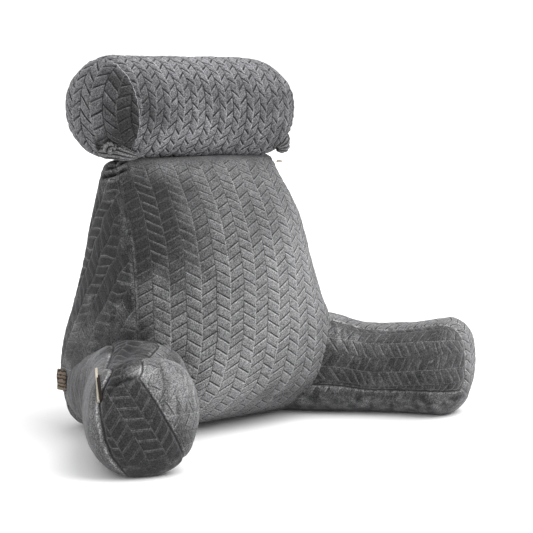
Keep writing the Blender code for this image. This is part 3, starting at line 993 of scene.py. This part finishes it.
def arm_panels(name, arm):
    """How far each point lies inside the inner side panel and inside the outer one, under 0 off them."""
    turns = [np.radians(np.interp(arm.along, *zip(*table))) for table in ARM_SEAMS[name]]
    lap_high, back_high, back_low, lap_low = turns
    size = (arm.high + arm.wide) / 2
    inner_line, outer_line = END_SEAMS[name]
    inner = between(ARM_ANGLES, lap_low, lap_high, size) * (1 - arm.on_end)
    inner = inner + beside(arm.across, arm.up, inner_line) * arm.on_end
    outer = between(ARM_ANGLES, back_high, back_low, size) * (1 - arm.on_end)
    outer = outer - beside(arm.across, arm.up, outer_line) * arm.on_end
    return inner, outer


def arm_maps(name, arm, inner):
    """The cloth maps of the side panels and of the strip, and the cloth's run along and round the arm."""
    # side panels: columns run along the arm, counted up from just above its middle
    around = running(np.hypot(np.diff(arm.across, axis=1), np.diff(arm.up, axis=1)))
    closing = np.hypot(arm.across[:, :1] - arm.across[:, -1:], arm.up[:, :1] - arm.up[:, -1:])
    girth = around[:, -1:] + closing
    from_lap = np.where(ARM_ANGLES > np.pi, around - girth, around)
    counted = np.where(ON_LAP_SIDE, from_lap, girth / 2 - around)
    side_run = arm.up_to_end + over_end(abs(arm.across) / arm.wide, END_HALF[0]) * arm.on_end
    side_map = grid_of((counted - 0.005) / SIDE_PITCH, side_run / LEAF_LENGTH)

    # strip: columns side by side out from the inner seam, over the end and back underneath
    lean = END_LEAN[name]
    over = over_end(arm.up / arm.high, END_HALF[1]) * np.hypot(1, lean) + lean * inner
    underneath = (np.sin(ARM_ANGLES) < 0) & (arm.on_end == 0)
    strip_run = np.where(underneath, STRIP_RETURN - arm.along, arm.up_to_end + over * arm.on_end)
    strip_map = grid_of(inner / STRIP_PITCH + 1.0, -strip_run / LEAF_LENGTH)
    wander = wandering(arm.points, 0.07, 6, (0.07, 0.10))
    return side_map + wander, strip_map + wander, side_run, around


def arm_pile_and_shading(name, arm, points, inner, outer, under, streaks):
    """How the pile lies on each panel, with the streaks that handling leaves and patches of lie, painted
    shade and painted highlight.
    """
    at_inner, at_top, at_end, at_under, at_outer = ARM_PANEL_PILE[name]
    share_up = arm.up / arm.high
    turn, later, over = STRIP_TURN
    end_share = ramp(arm.beyond - turn - later * ramp(share_up, 0.05, 0.55), 0.0, over)
    at_top = at_top - STRIP_SHADE[name] * bell(outer + 0.012, 0.012) * ramp(share_up, 0.4, 0.6)
    strip = at_top * (1 - end_share) + at_end * end_share
    strip = strip * (1 - under) + at_under * under
    on_strip = (inner < 0) & (outer < 0)
    panel = np.where(on_strip, strip, np.where(ON_LAP_SIDE, at_inner, at_outer))
    worn = patch_sum(points, ARM_WORN[name]) + 0.25 * (outer > 0)
    # the underside's mottled pile, with painted shade along its inner seam near the floor
    mottled_and_shaded = under * lumpy(points, UNDERSIDE_PATCHES) - 0.30 * under * bell(inner + 0.008, 0.010)
    return patch_sum(points, ARM_PILE_AND_SHADING[name], ARM_LIE) + panel + mottled_and_shaded + ARM_STREAKS * streaks * worn


def make_arm(name, side):
    """One arm's cover. side is -1 for the left one and 1 for the right one."""
    arm = arm_shape(name, side)
    inner, outer = arm_panels(name, arm)
    side_map, strip_map, side_run, around = arm_maps(name, arm, inner)
    in_strip = np.minimum(-inner, -outer)
    seam = np.minimum(abs(inner), abs(outer))
    height = arm.points[..., 2]
    under = ramp(-height, -0.055, -0.030) * (in_strip > 0)
    on_shown = np.where(ON_LAP_SIDE | (in_strip > 0), 1.0, 0.30)
    embossed = ramp(seam, 0.001, 0.005) * ramp(height, 0.004, 0.03) * on_shown * (1 - 0.75 * under)
    embossed = embossed * (1 - patch_sum(arm.points, ARM_WORN[name]))
    side_relief = leaf_relief(side_map, SIDE_LEAF, LEAF_GROOVE)
    relief = np.where(in_strip > 0, leaf_relief(strip_map, STRIP_LEAF, LEAF_GROOVE), side_relief)

    lumps = lumpy(arm.points, ARM_LUMPS) + under * lumpy(arm.points, UNDERSIDE_LUMPS)
    at_seam, reach, elsewhere = ARM_GATHERS
    folds = gathers(side_run, seam, 12) * (at_seam * np.exp(-seam / reach) + elsewhere)
    piping_height, piping_place, piping_width = ARM_PIPING
    piping = bell(outer - piping_place, piping_width) * arm.on_end
    lift = lumps + folds - drawn_in(seam, *ARM_SEAM) + piping_height * piping
    lift = lift * ramp(height, 0.0, 0.04) + (relief - 0.7) * ARM_LEAF_HEIGHT * embossed
    normal = outward(arm.points)
    points, pressed = creased(arm.points + normal * lift[..., None], normal, ARM_CREASES[name])
    first = max(int(np.argmin(buried(points[:80], backrest_tree))) - 1, 0)
    points = on_floor(pressed_clear(points, backrest_tree, -0.0003, arm.backwards))

    streaks = soft_noise(grid_of(side_run, 0.07 * around, 0.0), 0.0050, 19)
    # a painted highlight along the piping round the end, and painted shade drawn into the creases
    lie_and_shading = arm_pile_and_shading(name, arm, points, inner, outer, under, streaks) + 0.35 * piping - CREASE_SHADE * pressed
    fold = ramp(pressed, *CREASE_DARK)
    marks = {"lie_and_shading": lie_and_shading, "seam": seam, "embossed": embossed, "end": in_strip, "fold": fold}
    marks = {key: value[first:] for key, value in marks.items()}
    maps = [(layout[first:], np.roll(layout[first:], -1, axis=1)) for layout in (side_map, strip_map)]
    cover = stitch_up(name + "_cover", points[first:], marks, *maps)
    cover.data.materials.append(arm_cloth)
    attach(cover, "root")
    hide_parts(name)


arm_cloth = velour(
    "charcoal velour, arms",
    BODY_PILE,
    SIDE_LEAF,
    0.0010,
    0.34,
    swing=0.03,
    end_leaf=STRIP_LEAF,
    worn_line=(0.150, 0.150, 0.153),
    rubbed=0.60,
    rub_reach=0.0017,
    speckle=1.05,
)
make_arm("arm_left", -1)
make_arm("arm_right", 1)


# ------------------------------------------------------------------------------
# Neck roll: a stuffed cylinder of its own, puffier velour. The leaves run round it in
# narrow columns, and a round panel with wider leaves closes each end.
# ------------------------------------------------------------------------------
ROLL_CENTRE = (-0.0085, 0.117, 0.545)
ROLL_HALF = 0.226
ROLL_RADIUS = 0.089
ROLL_TAPER = 0.039
ROLL_TILT = 0.0266
ROLL_CROWNS = (0.077, 0.110)  # length of the rounding at its left and right end
ROLL_CROWN_POWER = 2.3
ROLL_STEPS = 272
ROLL_LEAF = (0.64, 0.0221, 0.0152)
ROLL_START = (-0.1621, -0.03)  # where its columns and its leaves are counted from
DISC_LEAF = (0.80, 0.0217, 0.0238)
DISC_START = (0.002, -0.67)
DISC_SLANT = 0.28
ROLL_SEAMS = (-0.1665, 0.205)  # where the round end panels are sewn on
ROLL_SEAM_LEAN = 0.0135  # the left one sits further out at its top
ROLL_LUMPS = ((0.050, 0.0018, 13), (0.018, 0.0008, 14))
SLACK_LUMPS = ((0.016, 0.0022, 16), (0.009, 0.0009, 22))  # where the cloth hangs slack, low on the roll
ROLL_LEAF_HEIGHT = 0.0017
SLACK_LEAF_HEIGHT = 0.0014  # how much higher its leaves stand where the cloth hangs slack
DISC_LEAF_HEIGHT = 0.0028
ROLL_GROOVE = 0.0013
DISC_GROOVE = 0.0016
ROLL_VALLEY = (0.0026, 0.0045)  # depth and reach of the valley along its seams
ROLL_EDGE = (0.0016, 0.0014)  # height and reach of the stitched edge that stands up in it
ROLL_SEAM_FINENESS = 2.2  # how much finer its seams are drawn than the other covers'
ROLL_PUCKERS = (0.0012, 0.010)  # height and width of the even puckers beside its seams
ROLL_LIE = 0.54
# painted sheen low on the roll's front and painted shade higher up: how much lighter and darker the pile
# is drawn in each band round the roll, at what angle from the front, and how widely
LOWER_PAINTED_SHEEN = (0.26, -0.65, 0.30)
UPPER_PAINTED_SHADE = (0.14, 0.35, 0.45)
# how deep a roll crease is pressed where its painted shadow starts, and where it is darkest
ROLL_CREASE_DARK = (0.0012, 0.0036)
ROLL_PILE_TONES = ((0.026, 0.026, 0.027), (0.204, 0.201, 0.213))
ROLL_CREASES = (
    (
        0.004, 0.006, (-0.208, 0.072, 0.497), (-0.2042, 0.067, 0.4968), (-0.187, 0.063, 0.491),
        (-0.1707, 0.0615, 0.4854),
    ),
    (0.005, 0.005, (-0.208, 0.0895, 0.488), (-0.2085, 0.091, 0.48)),
)
DISC_PILE = (
    (-0.192, 0.043, 0.555, 0.034, -0.5),
    (-0.185, 0.042, 0.515, 0.032, -0.5),
    (-0.183, 0.052, 0.49, 0.03, -0.4),
    (-0.19, 0.056, 0.59, 0.028, -0.4),
    (-0.2, 0.07, 0.605, 0.022, -0.3),
    (-0.195, 0.06, 0.49, 0.022, -0.3),
    (-0.2142, 0.0595, 0.5225, 0.03, -0.12),
    (-0.2202, 0.0988, 0.6003, 0.025, -0.12),
    (-0.2229, 0.097, 0.502, 0.025, -0.12),
)
# middle of each patch, its radius and how much lighter it draws the pile: how the pile lies, with a painted
# highlight along the roll's top and painted shadow round the left knot and tie
ROLL_PILE_AND_SHADING = (
    (-0.2076, 0.086, 0.49, 0.014, -0.6),
    (0.0, 0.11, 0.64, 0.06, 0.4),
    (0.1, 0.11, 0.64, 0.06, 0.4),
    (-0.1, 0.11, 0.64, 0.06, 0.35),
    (-0.146, 0.031, 0.5512, 0.024, -0.18),
    (-0.143, 0.0333, 0.5265, 0.024, -0.28),
    (-0.1387, 0.0442, 0.5012, 0.02, -0.2),
    (-0.11, 0.0327, 0.5257, 0.026, -0.14),
    (-0.1, 0.04, 0.5, 0.03, 0.15),
    (-0.05, 0.035, 0.5, 0.03, 0.25),
    (0.03, 0.04, 0.49, 0.03, 0.15),
    (0.15, 0.05, 0.51, 0.05, -0.15),
    (0.0188, 0.0352, 0.5088, 0.018, -0.2),
    (-0.1661, 0.0353, 0.576, 0.016, -0.2),
    (-0.1636, 0.031, 0.5466, 0.014, -0.12),
    (-0.2074, 0.0879, 0.4853, 0.007, -1.0),
    (-0.2105, 0.0919, 0.4869, 0.006, -1.0),
    (-0.2137, 0.0849, 0.4939, 0.005, -0.8),
    (-0.2052, 0.0963, 0.48, 0.005, -0.8),
    (-0.1641, 0.0684, 0.4779, 0.006, -1.0),
)

turn = np.linspace(0.012, np.pi / 2, 46)
left_end = -ROLL_HALF + ROLL_CROWNS[0] * (1 - np.cos(turn))
right_end = ROLL_HALF - ROLL_CROWNS[1] * (1 - np.cos(turn[::-1]))
middle = np.linspace(left_end[-1], right_end[0], 126)[1:-1]
roll_along = np.concatenate([left_end, middle, right_end])
crown = np.where(roll_along < 0, *ROLL_CROWNS)
beyond = np.clip((abs(roll_along) - ROLL_HALF + crown) / crown, 0.0, 1.0)
radius = ROLL_RADIUS * (1 + ROLL_TAPER * roll_along / ROLL_HALF) * rounded(beyond, ROLL_CROWN_POWER)
from_left = running(np.hypot(np.diff(roll_along), np.diff(radius)))
from_pole = np.where(roll_along < 0, from_left, from_left[-1] - from_left)[:, None]
roll_along, radius = roll_along[:, None], radius[:, None]
angle = np.linspace(0, 2 * np.pi, ROLL_STEPS, endpoint=False)
turned = (angle + np.pi) % (2 * np.pi) - np.pi  # 0 at the front and up positive, so the map's seam is behind
points = grid_of(roll_along, -radius * np.cos(angle), radius * np.sin(angle))

wander = wandering(points, 0.05, 11, (0.12, 0.16))
body = grid_of(
    (roll_along - ROLL_START[0]) / ROLL_LEAF[2],
    ROLL_RADIUS * turned / ROLL_LEAF[1] + ROLL_START[1],
)
disc_across = (np.where(roll_along < 0, 1, -1) * from_pole * np.cos(angle) - DISC_START[0]) / DISC_LEAF[2] + 1
disc_up = from_pole * np.sin(angle) / DISC_LEAF[1] + DISC_START[1] + DISC_SLANT * disc_across
body, disc = body + wander, grid_of(disc_across, disc_up) + wander

left_seam = ROLL_SEAMS[0] - ROLL_SEAM_LEAN * np.sin(turned)
at_disc = np.maximum(left_seam - roll_along, roll_along - ROLL_SEAMS[1])
seam = abs(at_disc)
embossed = ramp(seam, 0.001, 0.004)
low = ramp(-np.sin(angle) * np.cos(0.6 * turned), 0.25, 0.8)
disc_relief = leaf_relief(disc, DISC_LEAF, DISC_GROOVE)
relief = np.where(at_disc > 0, disc_relief, leaf_relief(body, ROLL_LEAF, ROLL_GROOVE))
leaf_height = np.where(at_disc > 0, DISC_LEAF_HEIGHT, ROLL_LEAF_HEIGHT + SLACK_LEAF_HEIGHT * low)
lumps = lumpy(points, ROLL_LUMPS) + low * lumpy(points, SLACK_LUMPS)
pucker_height, pucker_width = ROLL_PUCKERS
pucker = np.sin((turned * ROLL_RADIUS / pucker_width + soft_noise(points, 0.04, 15) * 1.8) * np.pi)
pucker = pucker * np.exp(-seam / 0.009) * pucker_height
valley = ROLL_VALLEY[0] * bell(seam, ROLL_VALLEY[1]) - ROLL_EDGE[0] * bell(seam, ROLL_EDGE[1])
lift = lumps + pucker - valley + (relief - 0.7) * leaf_height * embossed
points = points + outward(points) * lift[..., None]
place = np.array(Matrix.Translation(ROLL_CENTRE) @ Matrix.Rotation(ROLL_TILT, 4, "Y"))
points = points @ place[:3, :3].T + place[:3, 3] + MIDDLE
points, pressed = creased(points, outward(points), ROLL_CREASES)
points = pressed_clear(points, backrest_tree, 0.0008)

# how the pile lies, with the patches' painted highlight and shadow, and painted shade drawn into the creases
lie_and_shading = patch_sum(points, ROLL_PILE_AND_SHADING, ROLL_LIE) - CREASE_SHADE * pressed
lie_and_shading += (at_disc > 0) * patch_sum(points, DISC_PILE)
# painted sheen in a band low on the front, fading out towards the right end, and painted shade in a band
# higher up
lower_sheen, upper_shade = (change * bell(turned - where, width) for change, where, width in (LOWER_PAINTED_SHEEN, UPPER_PAINTED_SHADE))
lie_and_shading += (at_disc < 0) * (lower_sheen * (1 - 0.9 * ramp(roll_along, 0.0, 0.07)) - upper_shade)
fold = ramp(pressed, *ROLL_CREASE_DARK)
marks = {"lie_and_shading": lie_and_shading, "seam": seam, "embossed": embossed, "end": ROLL_SEAM_FINENESS * at_disc, "fold": fold}
body_right, disc_right = np.roll(body, -1, axis=1), np.roll(disc, -1, axis=1)
behind = np.argmin(np.diff(turned))  # the face where the map closes round the back
body_right[:, behind, 1] = body[:, behind, 1] + (body[:, 1, 1] - body[:, 0, 1])
neck_roll = stitch_up("neck_roll_cover", points, marks, (body, body_right), (disc, disc_right))
roll_cloth = velour(
    "charcoal velour, roll",
    ROLL_PILE_TONES,
    ROLL_LEAF,
    0.0018,
    0.25,
    swing=0.0,
    line_width=1.45,
    end_leaf=DISC_LEAF,
    # near black: painted shadow in the roll's grooves on dark pile
    worn_line=(0.014, 0.014, 0.015),
    stitch=(0.300, 0.297, 0.308),
    rubbed=0.0,
    speckle=1.3,
)
neck_roll.data.materials.append(roll_cloth)
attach(neck_roll, "root")
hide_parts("neck_roll")
roll_tree = tree_of(neck_roll)


# ------------------------------------------------------------------------------
# Neck ties: a gathered band of the same cloth at each top corner, with a knot. It holds
# the roll on the backrest, and its folds run along it into the knot.
# ------------------------------------------------------------------------------
# place of the band's middle, half its height and half its thickness, back to front
TIE_ROWS = (
    (0.2000, 0.1080, 0.4740, 0.0040, 0.0030),
    (0.2005, 0.0960, 0.4770, 0.0110, 0.0070),
    (0.1960, 0.0810, 0.4780, 0.0125, 0.0090),
    (0.1840, 0.0690, 0.4745, 0.0110, 0.0090),
    (0.1700, 0.0620, 0.4710, 0.0080, 0.0080),
    (0.1580, 0.0580, 0.4695, 0.0035, 0.0035),
)
# middle and half sizes of each knot
KNOTS = {
    "neck_tie_left": ((-0.2045, 0.0745, 0.485), (0.0105, 0.0095, 0.0105)),
    "neck_tie_right": ((0.201, 0.086, 0.486), (0.009, 0.009, 0.012)),
}
TIE_GAP = 0.0006  # between a tie and what it presses on
NO_SEAM = 0.02  # a seam too far off to show


def folded(least, swell, broad, fine):
    """How full gathered cloth is: round folds with sharp creases between them, and fine ones on top."""
    return least + swell * abs(np.sin(broad)) ** 0.6 + 0.03 * np.sin(fine)


def fold_marks(fullness, lie_and_shading, crease):
    """The marks of folded cloth: a painted highlight on each fold, and painted shadow in the creases between
    the folds.
    """
    return {"lie_and_shading": lie_and_shading + 5.0 * fullness, "fold": ramp(-fullness, crease, 0.12), "seam": NO_SEAM}


def make_tie(name, side):
    """One tie: its band, gathered towards both ends, and its knot. side is as for an arm."""
    at = np.linspace(0, len(TIE_ROWS) - 1, 72)
    rows = np.column_stack([np.arange(len(TIE_ROWS)), TIE_ROWS])
    x, y, z, tall, thick = along_rows(rows, at).T
    line = np.stack([side * x, y, z], -1) + MIDDLE
    ahead = unit(np.gradient(line, axis=0))
    out = unit(np.cross(ahead, (0, 0, 1)))
    up = np.cross(out, ahead)
    angle = np.linspace(0, 2 * np.pi, 96, endpoint=False)
    at = at[:, None]
    drift = 0.45 * at + 0.5 * soft_noise(grid_of(at, 0.0, 0.0), 1.3, 20 + side)
    folds = folded(0.82, 0.24, 4.5 * angle + 1.3 * drift, 21 * angle - 2 * drift)
    points = line[:, None] + out[:, None] * (thick[:, None] * folds * np.cos(angle))[..., None]
    points = points + up[:, None] * (tall[:, None] * folds * np.sin(angle))[..., None]
    points = pressed_clear(pressed_clear(points, backrest_tree, TIE_GAP), roll_tree, TIE_GAP)
    flat_map = grid_of(angle, at)
    band = stitch_up(name + "_band", points, fold_marks(folds - 0.98, 0.30, 0.03), (flat_map, flat_map))

    place, size = KNOTS[name]
    polar = np.linspace(0.06, np.pi - 0.06, 60)[:, None]
    swirl = folded(0.84, 0.26, 1.5 * angle + 2.0 * polar, 8 * angle - 5 * polar)
    ball = grid_of(np.sin(polar) * np.cos(angle), np.cos(polar), np.sin(polar) * np.sin(angle))
    points = pressed_clear(ball * swirl[..., None] * size + place + MIDDLE, roll_tree, TIE_GAP)
    knot_map = grid_of(angle, polar)
    knot = stitch_up(name + "_knot", points, fold_marks(swirl - 1, 0.36, 0.02), (knot_map, knot_map))
    for piece in (band, knot):
        piece.data.materials.append(cover_cloth)
        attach(piece, "root")
    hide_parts(name)


make_tie("neck_tie_left", -1)
make_tie("neck_tie_right", 1)


# ------------------------------------------------------------------------------
# Label and tabs: a brown woven label in the back seam, a folded cream ribbon in the left arm's seam
# with its inner ply in painted shadow, and a short cream ribbon end at the right top corner.
# ------------------------------------------------------------------------------
LABEL_BARS = 930.0  # how closely the label's woven bars follow each other
RIBS = (5200.0, 4300.0)  # and how closely a ribbon's fine ribs do, up it and along it
CREAM = (0.56, 0.51, 0.42)
FACING_LAP = (0.738, -0.675, 0.0)  # the seam tab stands out of its seam this way


def make_ribbon_weave():
    """Group: woven ribbon with fine cross ribs, flecks, and uneven darker bars where Bar Share is over 0."""
    group, given, result = group_of(
        "ribbon weave",
        {"Place": None, "Ground": CREAM, "Bar": THREAD, "Bars": 0.0, "Bar Share": 0.0},
        {"Colour": "Color", "Ribs": "Float"},
    )
    place = given["Place"]
    _, along, up = node_of(group, "SeparateXYZ", {0: place}).outputs
    ribs = [math("SINE", times(way, rate)) for way, rate in zip((up, along), RIBS)]
    smudges = times(noise_at(place, 170.0), 7.0)
    band = math("SINE", plus(times(up, given["Bars"]), smudges))
    shade = smooth_range(band, 0.15, 0.6, 0.0, given["Bar Share"])
    flecks = smooth_range(noise_at(place, 900.0), 0.35, 0.7, 0.0, 0.35)
    colour = blend(flecks, blend(shade, given["Ground"], given["Bar"]), given["Bar"])
    feed(group, result, {"Colour": colour, "Ribs": times(*ribs)})
    return group


RIBBON_WEAVE = make_ribbon_weave()


def woven(name, ground, bar, bars=0.0, bar_share=0.0):
    made, tree, shader = finish_of(name, {"Roughness": 0.75, "Specular IOR Level": 0.3})
    place = node_of(tree, "TexCoord", {}).outputs["Object"]
    inputs = {"Place": place, "Ground": ground, "Bar": bar, "Bars": bars, "Bar Share": bar_share}
    weave = node_of(tree, "Group", inputs, node_tree=RIBBON_WEAVE).outputs
    bump = node_of(tree, "Bump", {"Distance": 0.0003, "Height": weave["Ribs"]})
    feed(tree, shader.inputs, {"Base Color": weave["Colour"], "Normal": bump.outputs[0]})
    return made


def ribbon(name, foot, top, facing, size, cloth):
    """A strip from foot to top, its width pointing along facing. size is its width, thickness and bow."""
    wide, thick, bow = size
    foot, top = Vector(foot) + Vector(MIDDLE), Vector(top) + Vector(MIDDLE)
    up = (top - foot).normalized()
    out = up.cross(Vector(facing)).normalized()
    across = out.cross(up)
    rings = []
    for t in np.linspace(0, 1, 25):
        centre = foot.lerp(top, t) + out * bow * float(np.sin(np.pi * t))
        ring = []
        for a, b in ((-1, -1), (-0.3, -1), (0.3, -1), (1, -1), (1, 1), (0.3, 1), (-0.3, 1), (-1, 1)):
            wave = 0.0006 * float(np.sin(9 * t + 2 * a))
            ring.append(tuple(centre + across * (a * wide / 2) + out * (b * thick / 2 + wave)))
        rings.append(ring)
    points = np.array(rings)
    flat = np.zeros((*points.shape[:2], 2))
    piece = stitch_up(name, points, {}, (flat, flat))
    piece.data.materials.append(cloth)
    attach(piece, "root")
    return piece


label_weave = woven("brown woven label", (0.240, 0.185, 0.138), (0.018, 0.012, 0.009), LABEL_BARS, 0.95)
ribbon_weave = woven("cream ribbon", CREAM, (0.33, 0.28, 0.21))
# near black, tinted brown: painted shadow for the folded ribbon's inner ply
shadowed_inner_ply = woven("ribbon inner ply in painted shadow", (0.014, 0.009, 0.006), (0.006, 0.004, 0.003))

label = ribbon(
    "side_label_piece",
    foot=(-0.2240, 0.1890, 0.066),
    top=(-0.2240, 0.1890, 0.102),
    facing=(0, 1, 0),
    size=(0.025, 0.0012, 0.001),
    cloth=label_weave,
)
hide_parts("side_label")
tab = ribbon(
    "seam_tab_piece",
    foot=(-0.4217, -0.1759, 0.1245),
    top=(-0.3958, -0.1370, 0.1640),
    facing=FACING_LAP,
    size=(0.0036, 0.0080, -0.0065),
    cloth=ribbon_weave,
)
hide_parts("seam_tab")
# the folded ribbon's inner ply, drawn near black as painted shadow inside the fold
ribbon(
    "seam_tab_fold_shadow",
    foot=(-0.4187, -0.1788, 0.1252),
    top=(-0.4045, -0.1527, 0.1565),
    facing=FACING_LAP,
    size=(0.0050, 0.0070, -0.0052),
    cloth=shadowed_inner_ply,
)
top_tab = ribbon(
    "top_tab_piece",
    foot=(0.1800, 0.0840, 0.4470),
    top=(0.1920, 0.0840, 0.4470),
    facing=(0, 0, 1),
    size=(0.0045, 0.0014, 0.0),
    cloth=ribbon_weave,
)
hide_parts("top_tab")


# ------------------------------------------------------------------------------
# Floor, light and camera: a white floor in a white room, a broad soft light from above on
# the right, and a long lens a little above the arms, 42 degrees round to the pillow's left.
# ------------------------------------------------------------------------------
FLOOR_REACH = 9.0
FLOOR_DROP = 0.0005  # below the pillow's foot, so that the two don't lie in one plane
ROOM_STRENGTH = 0.98
BACKDROP_STRENGTH = 1.2
# name, which way the light comes from, how wide it looks and how strong it is
LAMPS = (
    ("window, right", (0.46, -0.66, 1.25), 55.0, 2.75),
    ("white wall, left", (-1.0, -0.6, 0.5), 70.0, 0.20),
)
CAMERA_PLACE = (-2.0317, -2.2916, 0.6332)
CAMERA_WAY = (0.6705, 0.7329, -0.1153)
CAMERA_LENS = 122.0  # millimetres, before a sensor 36 millimetres wide


def aim(held, way, axis):
    """Turns a lamp or the camera until this axis of its own lies along the way."""
    held.rotation_mode = "QUATERNION"
    held.rotation_quaternion = Vector(way).to_track_quat(axis, "Y")


floor_mesh = bpy.data.meshes.new("floor")
rim = [(x * FLOOR_REACH, y * FLOOR_REACH, 0) for x, y in ((-1, -1), (1, -1), (1, 1), (-1, 1))]
floor_mesh.from_pydata(rim, [], [(0, 1, 2, 3)])
matt_white = {"Base Color": (0.93, 0.93, 0.93), "Roughness": 1.0, "Specular IOR Level": 0.0}
floor_mesh.materials.append(finish_of("white floor", matt_white)[0])
floor = put_up("floor", floor_mesh, (0, 0, -FLOOR_DROP))

world = bpy.data.worlds.new("white room")
bpy.context.scene.world = world
world.use_nodes = True
room = world.node_tree
feed(room, room.nodes["Background"].inputs, {"Color": (1.0, 1.0, 1.0), "Strength": ROOM_STRENGTH})
backdrop = node_of(room, "Background", {"Color": (1.0, 1.0, 1.0), "Strength": BACKDROP_STRENGTH}).outputs[0]
seen = node_of(room, "LightPath", {}).outputs["Is Camera Ray"]
either = node_of(room, "MixShader", {0: seen, 1: room.nodes["Background"].outputs[0], 2: backdrop})
feed(room, room.nodes["World Output"].inputs, {"Surface": either.outputs[0]})

for name, spot, spread, strength in LAMPS:
    lamp = bpy.data.lights.new(name, "SUN")
    lamp.angle = float(np.radians(spread))
    lamp.energy = strength
    aim(put_up(name, lamp, spot), spot, "Z")

camera = put_up("camera", bpy.data.cameras.new("camera"), CAMERA_PLACE)
aim(camera, CAMERA_WAY, "-Z")
camera.data.sensor_width = 36.0
camera.data.lens = CAMERA_LENS
bpy.context.scene.camera = camera
bpy.context.scene.view_settings.view_transform = "Standard"

bpy.context.view_layer.update()
